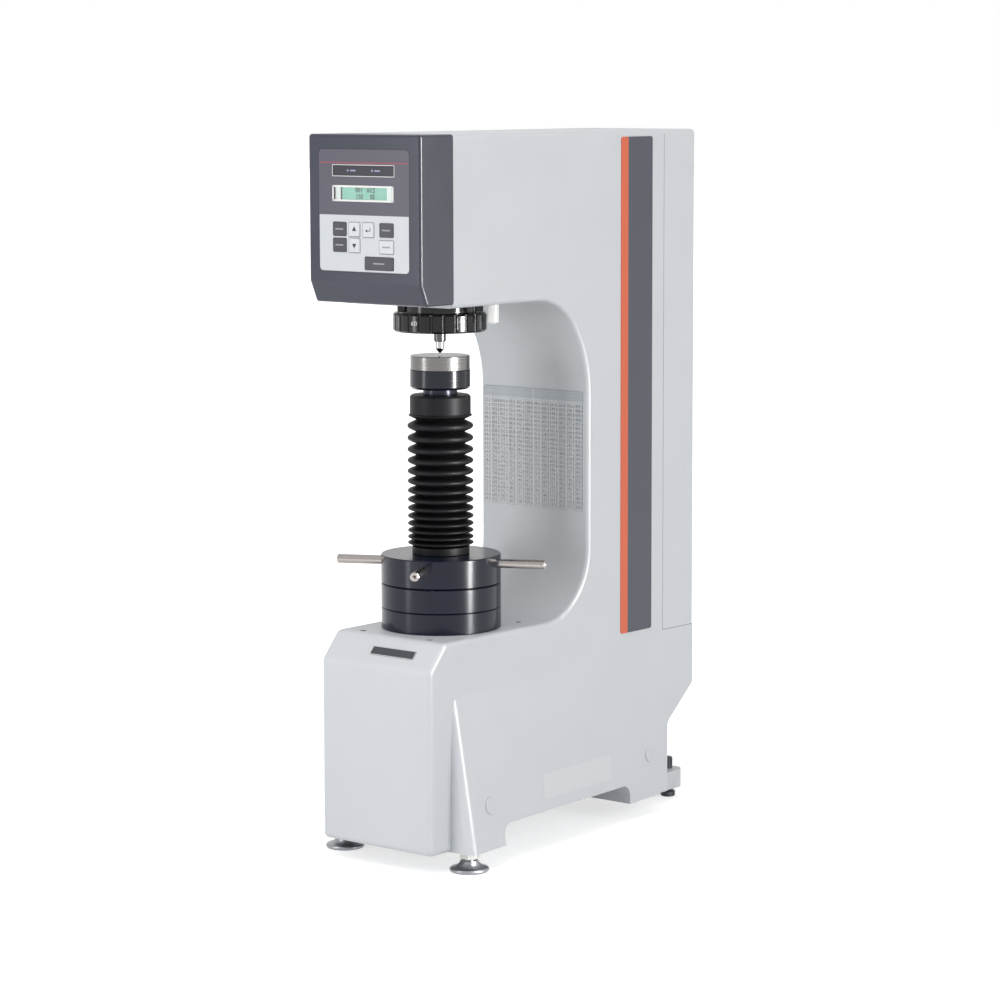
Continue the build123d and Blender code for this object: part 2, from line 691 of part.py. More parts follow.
def display_module():
    """Display block between the cover's front wall and the control board."""
    left, right, low, high = WINDOW
    back_of_wall = HEAD_COVER_WALL - HEAD_COVER_FRONT
    body = block(left + DISPLAY_INSET, right - DISPLAY_INSET, back_of_wall, -BOARD_FRONT,
                 low - DISPLAY_FRAME, high + DISPLAY_FRAME)
    inset = SEAT_LEDGE + KEY_GAP
    return body + block(left + 2 * DISPLAY_INSET, right - 2 * DISPLAY_INSET,
                        back_of_wall - OVERLAY_T, back_of_wall, low + inset, high - inset)


def control_board():
    """Circuit board behind the keys, on the cover's posts."""
    board = block(-BOARD_HALF, BOARD_HALF, -BOARD_FRONT, BOARD_T - BOARD_FRONT, BOARD_LOW, BOARD_HIGH)
    back = BOARD_T - BOARD_FRONT
    for x, z, width, height, depth in BOARD_PARTS:
        board += block(x - width / 2, x + width / 2, back, back + depth, z - height / 2, z + height / 2)
    return board


def key(area):
    """Key cap with its flange and the stem that presses the switch on the board."""
    left, right, low, high = area
    front = -HEAD_COVER_FRONT - KEY_PROUD
    flange_front = HEAD_COVER_WALL - HEAD_COVER_FRONT + KEY_GAP
    cap = front_plate(*area, front, flange_front - front, KEY_CORNER_R)
    cap = chamfer(cap.faces().sort_by(Axis.Y)[0].edges(), 0.4)
    cap += front_plate(*grown(area, 2 * KEY_GAP), flange_front, KEY_FLANGE, KEY_CORNER_R)
    stem_back = -BOARD_FRONT - KEY_TRAVEL - KEY_GAP
    stem_front = flange_front + KEY_FLANGE
    stem = Rot(90, 0, 0) * Cylinder(KEY_STEM_R, stem_back - stem_front)
    return cap + Pos((left + right) / 2, (stem_front + stem_back) / 2, (low + high) / 2) * stem


def side_trims():
    """Striped trim strips along the column, one on each side."""
    corner = 3.0
    strips = []
    for side in (1, -1):
        face = Plane.YZ * Pos((TRIM_FRONT + TRIM_BACK) / 2, (TRIM_LOW + TRIM_HIGH) / 2)
        outline = RectangleRounded(TRIM_BACK - TRIM_FRONT, TRIM_HIGH - TRIM_LOW, corner)
        strip = extrude(face * outline, TRIM_T)
        strips.append(Pos(HALF if side > 0 else -HALF - TRIM_T, 0, 0) * strip)
    return Compound(strips)


# ---------------------------------------------------------------- head mechanism
def spindle_bush():
    """Flanged bush that guides the spindle."""
    high = BOSS_TOP + BUSH_FLANGE_T
    bush = turned(BUSH_R, HEAD_BOTTOM, high) + turned(BUSH_FLANGE_R, BOSS_TOP, high)
    return bush - turned(SPINDLE_R + RUNNING, HEAD_BOTTOM - 1, high + 1)


def spindle():
    """Load spindle: stop collar above the bush, nose towards the lever, bore for the indenter's holder."""
    shaft = turned(SPINDLE_R, SPINDLE_LOW, COLLAR_LOW)
    shaft = chamfer(shaft.edges().sort_by(Axis.Z)[0], 0.8)
    nose = turned(SPINDLE_NOSE_R, COLLAR_TOP, SPINDLE_TOP)
    nose = fillet(nose.edges().sort_by(Axis.Z)[-1], 3)
    shaft += turned(SPINDLE_COLLAR_R, COLLAR_LOW, COLLAR_TOP) + nose
    return shaft - turned(HOLDER_R, SPINDLE_LOW - 1, SPINDLE_LOW + 2 * HOLDER_R)


def indenter_holder():
    """Holder that plugs into the spindle."""
    holder = turned(HOLDER_R, HOLDER_LOW, SPINDLE_LOW + 2 * HOLDER_R, r_in=0)
    holder = chamfered_edges(holder, HOLDER_R, 0.8)
    return holder - turned(INDENTER_R, HOLDER_LOW - 1, HOLDER_LOW + 2 * INDENTER_R)


def indenter():
    """Steel shank with a rounded cone at the end."""
    tip = ANVIL_TOP + TIP_GAP
    high = HOLDER_LOW + 2 * INDENTER_R
    throat = INDENTER_R * 0.45
    points = [(0, high), (INDENTER_R, high), (INDENTER_R, CONE_TOP + 4), (throat, CONE_TOP),
              (TIP_FLAT_R, tip), (0, tip)]
    return revolved(points)


def preload_spring():
    """Coil spring between the spindle's collar and the bracket's web, with closed ends."""
    low = COLLAR_TOP + SPRING_WIRE_R + STOP_GAP
    height = WEB_LOW - SPRING_WIRE_R - low
    path = Helix(height / SPRING_TURNS, height, SPRING_R)
    section = Plane(origin=path @ 0, z_dir=path % 0) * Circle(SPRING_WIRE_R)
    return Pos(0, 0, low) * sweep(section, path=path)


def fulcrum_bracket():
    """Yoke on the head's boss: two cheeks for the lever's pin and a web that the spring presses on."""
    yoke = block(-CHEEK_OUT, CHEEK_OUT, CHEEK_FRONT, CHEEK_BACK, BOSS_TOP, PIVOT_Z + 2 * PIVOT_R + WEB_T)
    yoke -= block(-CHEEK_IN, CHEEK_IN, CHEEK_FRONT - 1, CHEEK_BACK + 1, BOSS_TOP - 1, WEB_LOW)
    yoke -= block(-CHEEK_IN, CHEEK_IN, CHEEK_FRONT - 1, CHEEK_BACK + 1, WEB_LOW + WEB_T, HEIGHT)
    crown = yoke.edges().filter_by(Axis.X).group_by(Axis.Z)[-1]
    yoke = fillet(crown, 9)
    yoke -= turned(SPINDLE_NOSE_R + 1, WEB_LOW - 1, WEB_LOW + WEB_T + 1)
    return yoke - along_x(PIVOT_R, -CHEEK_OUT - 1, CHEEK_OUT + 1, PIVOT_Y, PIVOT_Z)


def fulcrum_pin():
    """Pin that the lever turns on."""
    return along_x(PIVOT_R, -CHEEK_OUT, CHEEK_OUT, PIVOT_Y, PIVOT_Z)


def main_lever():
    """Tapered load lever with lightening holes, a pad over the spindle and eyes at both ends."""
    outline = Polyline(
        (LEVER_FRONT, LEVER_FRONT_LOW), (LEVER_BACK, LEVER_BACK_LOW),
        (LEVER_BACK, LEVER_BACK_HIGH), (LEVER_FRONT, LEVER_FRONT_HIGH), close=True,
    )
    face = make_face(outline)
    face = fillet(face.vertices(), LEVER_END_R)
    beam = extrude(Plane.YZ * face, LEVER_W / 2, both=True)
    middle = (LEVER_FRONT_LOW + LEVER_FRONT_HIGH) / 2
    for index in range(LEVER_HOLES):
        y = LEVER_FIRST_HOLE + index * 3.4 * LEVER_HOLE_R
        beam -= along_x(LEVER_HOLE_R - LEVER_HOLE_STEP * index, -LEVER_W, LEVER_W, y, middle)
    beam += turned(LEVER_PAD_R, LEVER_PAD_LOW, LEVER_FRONT_LOW + WALL)
    beam -= along_x(PIVOT_R + RUNNING, -LEVER_W, LEVER_W, PIVOT_Y, PIVOT_Z)
    return beam - along_x(END_PIN_R, -LEVER_W, LEVER_W, HANGER_Y, PIVOT_Z)


def lever_end_pin():
    """Pin in the lever's long arm, which the hanger hangs on."""
    reach = HANGER_PLATE_OUT + 3
    return along_x(END_PIN_R, -reach, reach, HANGER_Y, PIVOT_Z)


def weight_hanger():
    """Yoke round the lever's end, a rod down the column and a foot for the weights."""
    hanger = turned(HANGER_ROD_R, HANGER_LOW, HANGER_YOKE_HIGH, y=HANGER_Y)
    hanger += turned(HANGER_FOOT_R, HANGER_LOW, HANGER_LOW + HANGER_FOOT_T, y=HANGER_Y)
    depth = 2 * EYE_R
    hanger += block(-HANGER_PLATE_OUT, HANGER_PLATE_OUT, HANGER_Y - depth, HANGER_Y + depth,
                    HANGER_YOKE_LOW, HANGER_YOKE_HIGH)
    for side in (1, -1):
        low, high = sorted((side * HANGER_PLATE_IN, side * HANGER_PLATE_OUT))
        hanger += block(low, high, HANGER_Y - depth, HANGER_Y + depth, HANGER_YOKE_LOW, PIVOT_Z)
        hanger += along_x(depth, low, high, HANGER_Y, PIVOT_Z)
    return hanger - along_x(EYE_R, -2 * HANGER_PLATE_OUT, 2 * HANGER_PLATE_OUT, HANGER_Y, PIVOT_Z)


def load_weights():
    """Stack of turned weights on the hanger's foot, each with a slot to slip over the rod."""
    weights = []
    for index in range(WEIGHT_COUNT):
        low = HANGER_LOW + HANGER_FOOT_T + index * WEIGHT_H
        disc = chamfered_edges(turned(WEIGHT_R, low, low + WEIGHT_H), WEIGHT_R, 1.5)
        disc = Pos(0, HANGER_Y, 0) * disc
        disc -= turned(HANGER_ROD_R, low - 1, low + WEIGHT_H + 1, y=HANGER_Y)
        width = 2 * HANGER_ROD_R
        disc -= block(-width / 2, width / 2, HANGER_Y, HANGER_Y + WEIGHT_R + 1, low - 1, low + WEIGHT_H + 1)
        weights.append(disc)
    return Compound(weights)


def cam_height():
    """Height of the cam's shaft: the cam's high side stays just under the lever."""
    lever_low = LEVER_FRONT_LOW + (CAM_Y - CAM_R - LEVER_FRONT) * LEVER_SLOPE
    return lever_low - CAM_GAP - CAM_R - CAM_OFFSET


def drive_motor():
    """Geared motor on the casting's side wall, with its shaft towards the middle."""
    z = cam_height()
    face_x = MOTOR_LENGTH - INNER_HALF
    motor = along_x(MOTOR_R, -INNER_HALF, face_x, CAM_Y, z)
    motor = chamfered_edges(motor, MOTOR_R, 1.5)
    return motor + along_x(MOTOR_SHAFT_R, face_x, CAM_W / 2 + 4, CAM_Y, z)


def lift_cam():
    """Eccentric that takes the lever's weight off the specimen."""
    z = cam_height()
    disc = along_x(CAM_R, -CAM_W / 2, CAM_W / 2, CAM_Y, z + CAM_OFFSET)
    return disc - along_x(MOTOR_SHAFT_R + RUNNING, -CAM_W, CAM_W, CAM_Y, z)


# ---------------------------------------------------------------- under the head
def dial_flange():
    """Fixed flange that the force dial turns on, with a crown of lugs under the head."""
    length, width = DIAL_LUG
    flange = turned(DIAL_FLANGE_R, DIAL_TOP + DIAL_GAP, HEAD_BOTTOM)
    for index in range(DIAL_LUG_COUNT):
        lug = block(DIAL_LUG_R - length, DIAL_LUG_R, -width / 2, width / 2, DIAL_TOP + DIAL_GAP, HEAD_BOTTOM)
        flange += Rot(0, 0, DIAL_LUG_TURN + index * 360 / DIAL_LUG_COUNT) * lug
    flange += turned(DIAL_BORE - RUNNING, DIAL_LOW + 2, DIAL_TOP + 1)
    return flange - turned(SPINDLE_R + 1, DIAL_LOW, HEAD_BOTTOM + 1)


def force_dial():
    """Fluted ring for choosing the test force."""
    ring = chamfered_edges(turned(DIAL_R, DIAL_LOW, DIAL_TOP), DIAL_R, DIAL_CHAMFER)
    ring -= turned(DIAL_BORE, DIAL_LOW - 1, DIAL_TOP + 1)
    rim, depth = DIAL_RELIEF
    ring -= turned(DIAL_R - rim, DIAL_LOW - 1, DIAL_LOW + depth)
    for index in range(DIAL_FLUTES):
        angle = radians(index * 360 / DIAL_FLUTES)
        ring -= turned(DIAL_FLUTE_R, DIAL_LOW - 1, DIAL_TOP + 1, x=DIAL_R * cos(angle), y=DIAL_R * sin(angle))
    return ring


def work_lamp():
    """Small lamp housing under the head, beside the dial."""
    lamp = turned(LAMP_R, HEAD_BOTTOM - LAMP_H, HEAD_BOTTOM)
    lamp = fillet(lamp.edges().sort_by(Axis.Z)[0], 2)
    return Pos(LAMP_X, LAMP_Y, 0) * lamp


# ---------------------------------------------------------------- screw and drum
def keyway(depth_gap, side_gap, low, high):
    """Key or keyway on the screw's rear side."""
    half = KEYWAY_W / 2 + side_gap
    return block(-half, half, SCREW_R - KEYWAY_DEPTH - depth_gap, SCREW_R + WALL, low, high)


def elevating_screw():
    """Screw whose keyway keeps it from turning; its thread is left plain."""
    shaft = turned(SCREW_R, SCREW_BELOW, NECK_TOP)
    shaft = chamfered_edges(shaft, SCREW_R, 1.0)
    shaft -= turned(ANVIL_STEM_R, NECK_TOP - ANVIL_STEM_L - 1, NECK_TOP + 1)
    return shaft - keyway(0, 0, SCREW_BELOW - 1, WHEEL_TOP + SCREW_TRAVEL)


def screw_guide():
    """Flanged guide under the drum, with the key that runs in the screw's keyway."""
    low = BASE_TOP - GUIDE_LENGTH
    guide = turned(GUIDE_R, low, BASE_TOP) + turned(GUIDE_FLANGE_R, BASE_TOP, BASE_TOP + GUIDE_FLANGE_T)
    guide -= turned(SCREW_R + RUNNING, low - 1, BASE_TOP + GUIDE_FLANGE_T + 1)
    feather = keyway(-KEY_SIDE_GAP, -KEY_SIDE_GAP, low + 5, BASE_TOP - 5)
    return guide + feather.intersect(turned(GUIDE_R - 1, low, BASE_TOP))


def stiffener_plate():
    """Steel plate under the base top that the flange's and guide's load goes into."""
    high = BASE_TOP - WALL
    reach_y = BASE_SCREW_Y + STIFFENER_EDGE
    plate = block(-HALF + 2 * WALL, HALF - 2 * WALL, -reach_y, reach_y, high - STIFFENER_T, high)
    plate = chamfer(plate.edges().filter_by(Axis.X).group_by(Axis.Z)[-1].sort_by(Axis.Y)[0], STIFFENER_BEVEL)
    plate -= turned(GUIDE_R, high - STIFFENER_T - 1, high + 1)
    for x, y in base_screw_places():
        plate -= turned(BASE_SCREW_R, high - STIFFENER_T - 1, high + 1, x=x, y=y)
    return plate


def base_screws():
    """Socket screws through the base top into the stiffener plate."""
    screws = []
    for x, y in base_screw_places():
        high = BASE_TOP - BASE_SCREW_SINK
        shank = turned(BASE_SCREW_R, BASE_TOP - WALL - STIFFENER_T, high, x=x, y=y)
        socket = extrude(RegularPolygon(BASE_SOCKET_R, 6), BASE_SOCKET_DEPTH + 1)
        screws.append(shank - Pos(x, y, high - BASE_SOCKET_DEPTH) * socket)
    return Compound(screws)


def base_flange():
    """Lowest tier of the drum, fixed on the base top over the guide's flange."""
    ring = turned(DRUM_R, BASE_TOP, FLANGE_TOP)
    ring = chamfered_edges(ring, DRUM_R, TIER_CHAMFER)
    ring -= turned(NUT_R + NUT_GAP, BASE_TOP - 1, FLANGE_TOP + 1)
    return ring - turned(GUIDE_FLANGE_R, BASE_TOP - 1, BASE_TOP + GUIDE_FLANGE_T)


def brake_ring():
    """Middle tier of the drum, around the thrust bearing."""
    ring = turned(DRUM_R, FLANGE_TOP, BRAKE_TOP)
    ring = chamfered_edges(ring, DRUM_R, TIER_CHAMFER)
    return ring - turned(NUT_FLANGE_R + 3, FLANGE_TOP - 1, BRAKE_TOP + 1)


def handwheel():
    """Top tier of the drum, which turns the nut; four rods are its handles."""
    wheel = turned(DRUM_R, WHEEL_LOW, WHEEL_TOP)
    wheel = chamfered_edges(wheel, DRUM_R, TIER_CHAMFER)
    wheel -= turned(NUT_R, WHEEL_LOW - 1, WHEEL_TOP + 1)
    for index in range(ROD_COUNT):
        wheel -= rod_place(index) * turned(ROD_R, ROD_ROOT, DRUM_R + 1)
    return wheel


def rod_place(index):
    """Frame of a handle rod: its z axis is the rod, outwards."""
    return Pos(0, 0, ROD_Z) * Rot(0, 0, ROD_ANGLE + index * 360 / ROD_COUNT) * Rot(0, 90, 0)


def handle_rods():
    """Handle rods with a centre drilled in the end."""
    rods = []
    for index in range(ROD_COUNT):
        rod = chamfered_edges(turned(ROD_R, ROD_ROOT, ROD_REACH), ROD_R, ROD_CHAMFER)
        rod -= revolved([(0, ROD_REACH - CENTRE_DEPTH), (CENTRE_R, ROD_REACH), (0, ROD_REACH)])
        rods.append(rod_place(index) * rod)
    return Compound(rods)


def elevating_nut():
    """Nut that turns with the handwheel and rests on the thrust bearing."""
    low = BASE_TOP + GUIDE_FLANGE_T + NUT_GAP
    nut = turned(NUT_R, low, WHEEL_TOP - 5) + turned(NUT_FLANGE_R, HIGH_RACE_TOP, WHEEL_LOW)
    return nut - turned(SCREW_R + RUNNING, low - 1, WHEEL_TOP)


def bearing_race(low):
    """Washer of the thrust bearing."""
    return turned(RACE_OUT, low, low + RACE_T, r_in=RACE_IN)


def bearing_balls():
    """Balls of the thrust bearing in their cage."""
    middle = (LOW_RACE_TOP + HIGH_RACE_LOW) / 2
    ring_r = (RACE_IN + RACE_OUT) / 2
    cage = turned(ring_r + 2 * BALL_R - 1, middle - 1, middle + 1, r_in=ring_r - 2 * BALL_R + 1)
    for index in range(BALL_COUNT):
        angle = radians(index * 360 / BALL_COUNT)
        cage += Pos(ring_r * cos(angle), ring_r * sin(angle), middle) * Sphere(BALL_R)
    return cage


def anvil_seat():
    """Dark table on the screw's neck, with a stem that drops into the screw."""
    table = turned(ANVIL_SEAT_R, NECK_TOP, ANVIL_LOW)
    table = chamfer(table.edges().sort_by(Axis.Z)[0], SEAT_BEVEL)
    stem = turned(ANVIL_STEM_R - RUNNING, NECK_TOP - ANVIL_STEM_L, NECK_TOP)
    return table + stem - turned(ANVIL_PIN_R, ANVIL_LOW - ANVIL_PIN_L - 1, ANVIL_LOW + 1)


def anvil():
    """Hardened flat anvil."""
    disc = turned(ANVIL_R, ANVIL_LOW, ANVIL_TOP)
    disc = chamfered_edges(disc, ANVIL_R, 0.6)
    return disc + turned(ANVIL_PIN_R - RUNNING, ANVIL_LOW - ANVIL_PIN_L, ANVIL_LOW)


def bellows():
    """Rubber bellows around the screw: folds close up towards the bottom."""
    raw = [TOP_PITCH + (LOW_PITCH - TOP_PITCH) * i / (BELLOWS_FOLDS - 1) for i in range(BELLOWS_FOLDS)]
    scale_to_fit = (BELLOWS_LIP - CUFF_TOP) / sum(raw)
    outer = [(BELLOWS_R, BELLOWS_LIP)]
    z = BELLOWS_LIP
    for pitch in raw:
        step = pitch * scale_to_fit
        outer += [(BELLOWS_VALLEY_R, z - step / 2), (BELLOWS_R, z - step)]
        z -= step
    outer[-1] = (BELLOWS_CUFF_R, CUFF_TOP)
    inner = [(r - BELLOWS_WALL * (1.4 if r > BELLOWS_VALLEY_R else 1.0), height) for r, height in outer]
    cuff = [(BELLOWS_CUFF_R, CUFF_LOW), (BELLOWS_CUFF_R - 3, CUFF_LOW)]
    return revolved(outer + cuff + inner[::-1])


def bellows_collar():
    """Upper cuff of the bellows, clamped to the neck of the screw."""
    high = NECK_TOP - COLLAR_DROP
    points = [(SCREW_R, BELLOWS_LIP), (COLLAR_R, BELLOWS_LIP), (COLLAR_R, high - COLLAR_BEVEL),
              (COLLAR_R - COLLAR_BEVEL, high), (SCREW_R, high)]
    return revolved(points)


# ---------------------------------------------------------------- feet
def front_foot(side):
    """Levelling foot: disc with a rounded rim and a crowned cone, on a stem."""
    cone_top = BASE_CLEARANCE - FOOT_NUT_H - FOOT_TRAVEL_UP - 0.5
    rim_in = FOOT_R - FOOT_RIM_R
    hub = (FOOT_STEM_R + FOOT_HUB, cone_top)
    with BuildSketch(Plane.XZ) as half:
        with BuildLine():
            Line((0, 0), (rim_in, 0))
            ThreePointArc((rim_in, 0), (FOOT_R, FOOT_RIM_R), (rim_in, 2 * FOOT_RIM_R))
            SagittaArc((rim_in, 2 * FOOT_RIM_R), hub, FOOT_BULGE)
            Polyline(hub, (FOOT_STEM_R, cone_top), (FOOT_STEM_R, FOOT_STEM_TOP), (0, FOOT_STEM_TOP), (0, 0))
        make_face()
    return Pos(side * FOOT_X, FOOT_Y, 0) * revolve(half.sketch, Axis.Z)


def foot_nuts():
    """Lock nuts of the front feet."""
    nuts = []
    for side in (1, -1):
        nut = extrude(RegularPolygon(FOOT_NUT_FLATS / 2, 6, major_radius=False), FOOT_NUT_H)
        nut -= Cylinder(FOOT_STEM_R + RUNNING, 4 * FOOT_NUT_H)
        nuts.append(Pos(side * FOOT_X, FOOT_Y, BASE_CLEARANCE - FOOT_NUT_H) * nut)
    return Compound(nuts)


def rear_foot(side):
    """Levelling stud through a rear lug, with a pad below and a socket on top."""
    pad = chamfered_edges(turned(STUD_PAD_R, 0, STUD_PAD_H), STUD_PAD_R, 1.0)
    stud = chamfered_edges(turned(STUD_R, 0, STUD_TOP), STUD_R, 0.8)
    socket = extrude(RegularPolygon(STUD_SOCKET_R, 6), STUD_SOCKET_DEPTH + 1)
    return Pos(side * LUG_X, LUG_Y, 0) * (pad + stud - Pos(0, 0, STUD_TOP - STUD_SOCKET_DEPTH) * socket)


# ---------------------------------------------------------------- electrics
def power_supply():
    """Power supply on the floor of the base, over the arch."""
    width, length, height = SUPPLY
    low = ARCH_TOP + WALL
    case = block(-width / 2, width / 2, SUPPLY_Y - length / 2, SUPPLY_Y + length / 2, low, low + height)
    for index in range(7):
        y = SUPPLY_Y - length / 2 + 10 + index * 10
        case -= block(-width / 2 + 8, width / 2 - 8, y - 1.5, y + 1.5, low + height - 2, low + height + 1)
    return case


def rear_fitting(size, x, depth):
    """Socket body through the rear cover, with a bezel outside."""
    width, height = size
    body = Box(width - 2 * FIT_GAP, depth, height - 2 * FIT_GAP, align=INWARDS)
    bezel = Box(width + 2 * BEZEL, BEZEL_T, height + 2 * BEZEL, align=(Align.CENTER, Align.MIN, Align.CENTER))
    bezel = fillet(bezel.edges().filter_by(Axis.Y), BEZEL_R)
    return Pos(x, COLUMN_BACK, REAR_FITTING_Z) * (body + bezel)


def power_inlet():
    """Appliance inlet with three blades."""
    width, height = INLET
    inlet = rear_fitting(INLET, INLET_X, FITTING_DEPTH)
    cavity = Box(width - 2 * INLET_WALL, INLET_DEPTH, height - 2 * INLET_WALL, align=INWARDS)
    cavity = chamfer(cavity.edges().filter_by(Axis.Y).group_by(Axis.Z)[-1], INLET_BEVEL)
    inlet -= Pos(INLET_X, COLUMN_BACK + BEZEL_T, REAR_FITTING_Z) * cavity
    for x, z in BLADE_PLACES:
        inlet += Pos(INLET_X + x, COLUMN_BACK - BLADE_BACK, REAR_FITTING_Z + z) * Box(*BLADE, align=INWARDS)
    return inlet


def switch_frame():
    """Frame of the rocker switch, open for the rocker."""
    width, height = SWITCH
    frame = rear_fitting(SWITCH, SWITCH_X, FITTING_DEPTH)
    room = Box(width - 2 * SWITCH_WALL, SWITCH_ROOM, height - 2 * SWITCH_WALL, align=INWARDS)
    frame -= Pos(SWITCH_X, COLUMN_BACK + BEZEL_T, REAR_FITTING_Z) * room
    reach = width / 2 - FIT_GAP - SWITCH_GAP
    return frame - along_x(TRUNNION_R + RUNNING, SWITCH_X - reach, SWITCH_X + reach, *ROCKER_AXIS)


def power_rocker():
    """Rocker of the power switch: a shallow V with rounded ends that tilts on two trunnions."""
    width, height = SWITCH
    half_h = height / 2 - SWITCH_WALL
    points = [(-ROCKER_T, -half_h), (ROCKER_LOW, -half_h), (ROCKER_DIP, 0), (ROCKER_HIGH, half_h),
              (-ROCKER_T, half_h)]
    face = Plane.YZ * make_face(Polyline(*points, close=True))
    rocker = extrude(face, width / 2 - SWITCH_WALL - SWITCH_GAP, both=True)
    rocker = Pos(SWITCH_X, COLUMN_BACK, REAR_FITTING_Z) * rocker
    swing = along_x(half_h - SWITCH_GAP, SWITCH_X - width, SWITCH_X + width, *ROCKER_AXIS)
    reach = width / 2 - FIT_GAP - 2 * SWITCH_GAP
    return (rocker & swing) + along_x(TRUNNION_R, SWITCH_X - reach, SWITCH_X + reach, *ROCKER_AXIS)


# ---------------------------------------------------------------- all nodes
def build():
    """Write every sub-part."""
    nodes = {
        "frame_casting": frame_casting(),
        "rear_cover": rear_cover(),
        "rear_cover_screws": rear_cover_screws(),
        "head_cover": head_cover(),
        "keypad_overlay": keypad_overlay(),
        "display_window": window_pane(WINDOW),
        "indicator_strip": window_pane(INDICATOR),
        "display_module": display_module(),
        "control_board": control_board(),
        "side_trims": side_trims(),
        "lifting_plugs": lifting_plugs(),
        "spindle_bush": spindle_bush(),
        "spindle": spindle(),
        "indenter_holder": indenter_holder(),
        "indenter": indenter(),
        "preload_spring": preload_spring(),
        "fulcrum_bracket": fulcrum_bracket(),
        "fulcrum_pin": fulcrum_pin(),
        "main_lever": main_lever(),
        "lever_end_pin": lever_end_pin(),
        "weight_hanger": weight_hanger(),
        "load_weights": load_weights(),
        "drive_motor": drive_motor(),
        "lift_cam": lift_cam(),
        "dial_flange": dial_flange(),
        "force_dial": force_dial(),
        "work_lamp": work_lamp(),
        "elevating_screw": elevating_screw(),
        "screw_guide": screw_guide(),
        "stiffener_plate": stiffener_plate(),
        "base_screws": base_screws(),
        "base_flange": base_flange(),
        "brake_ring": brake_ring(),
        "handwheel": handwheel(),
        "handle_rods": handle_rods(),
        "elevating_nut": elevating_nut(),
        "lower_race": bearing_race(FLANGE_TOP),
        "upper_race": bearing_race(HIGH_RACE_LOW),
        "bearing_balls": bearing_balls(),
        "anvil_seat": anvil_seat(),
        "anvil": anvil(),
        "bellows": bellows(),
        "bellows_collar": bellows_collar(),
        "front_foot_right": front_foot(1),
        "front_foot_left": front_foot(-1),
        "rear_foot_right": rear_foot(1),
        "rear_foot_left": rear_foot(-1),
        "foot_nuts": foot_nuts(),
        "power_supply": power_supply(),
        "power_inlet": power_inlet(),
        "switch_frame": switch_frame(),
        "power_rocker": power_rocker(),
    }
    nodes.update({name: key(area) for name, area in KEYS.items()})
    for node, shape in nodes.items():
        save(node, shape)


os.makedirs("parts", exist_ok=True)
build()
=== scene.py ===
"""Looks of the bench hardness tester: finishes for its CAD pieces and the details that stand on them."""

import json
import logging
import math
from collections.abc import Callable, Iterator, Sequence
from contextlib import contextmanager
from dataclasses import dataclass, replace
from enum import Enum

import bpy
from mathutils import Matrix, Vector


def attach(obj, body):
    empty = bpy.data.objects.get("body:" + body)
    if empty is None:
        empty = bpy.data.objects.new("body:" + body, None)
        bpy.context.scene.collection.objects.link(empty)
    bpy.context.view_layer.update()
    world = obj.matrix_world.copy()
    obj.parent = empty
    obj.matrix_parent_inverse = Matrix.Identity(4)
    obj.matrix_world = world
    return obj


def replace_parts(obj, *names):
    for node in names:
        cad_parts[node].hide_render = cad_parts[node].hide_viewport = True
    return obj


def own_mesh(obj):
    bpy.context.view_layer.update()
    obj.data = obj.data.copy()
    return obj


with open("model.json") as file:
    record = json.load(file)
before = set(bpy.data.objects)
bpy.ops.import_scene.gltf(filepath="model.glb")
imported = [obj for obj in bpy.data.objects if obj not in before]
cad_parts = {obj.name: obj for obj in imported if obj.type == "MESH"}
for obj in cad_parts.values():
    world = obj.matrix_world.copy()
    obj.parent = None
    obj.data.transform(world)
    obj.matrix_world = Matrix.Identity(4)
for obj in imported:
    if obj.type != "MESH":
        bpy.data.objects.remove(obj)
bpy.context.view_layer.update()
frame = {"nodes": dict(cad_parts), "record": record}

LOG = logging.getLogger("hardness_tester")
MM = 0.001
AXIS_Y = -0.1326            # load axis in the row frame
DIGIT_SHARE = 0.7           # height of a digit as a share of the font's size
FOOT_X, FOOT_Y = 0.089, AXIS_Y - 0.060
EDGE_SOFTNESS = 0.00008     # half width of a printed edge, in metres
INK = 0.06                  # thickness of thin print, in millimetres
SIDES = 40                  # sides of a small round piece
WHITE = (1.0, 1.0, 1.0, 1.0)
Colour = tuple[float, float, float]
Piece = bpy.types.Object
Socket = bpy.types.NodeSocket


def spot(x: float, y: float, z: float) -> Vector:
    """Turn millimetres right of and behind the load axis, and above the bench, into the row frame."""
    return Vector((x * MM, y * MM + AXIS_Y, z * MM))


def tint(red: int, green: int, blue: int) -> Colour:
    """Turn a screen colour into linear light.

    Args:
        red: 0 to 255.
        green: 0 to 255.
        blue: 0 to 255.

    Returns:
        The linear colour.
    """
    def linear(value: int) -> float:
        """Give one channel's linear value."""
        share = value / 255
        return share / 12.92 if share <= 0.04045 else ((share + 0.055) / 1.055) ** 2.4

    return linear(red), linear(green), linear(blue)


# ------------------------------------------------------------------ modelling moves
def begin() -> None:
    """Deselect everything, so that the next operator acts on its own piece only."""
    bpy.ops.object.select_all(action="DESELECT")


def in_hand(name: str) -> Piece:
    """Name the piece that an operator has just made.

    Args:
        name: Name of the piece and its mesh.

    Returns:
        The piece.
    """
    piece = bpy.context.object
    piece.name = name
    piece.data.name = name
    return piece


def focus(*pieces: Piece) -> None:
    """Select these pieces only; the first one is active.

    Args:
        *pieces: The pieces; the first becomes the active one.
    """
    begin()
    for piece in pieces:
        piece.select_set(True)
    bpy.context.view_layer.objects.active = pieces[0]


class Pick(Enum):
    """What an edit selects."""

    VERT = "VERT"
    EDGE = "EDGE"
    FACE = "FACE"


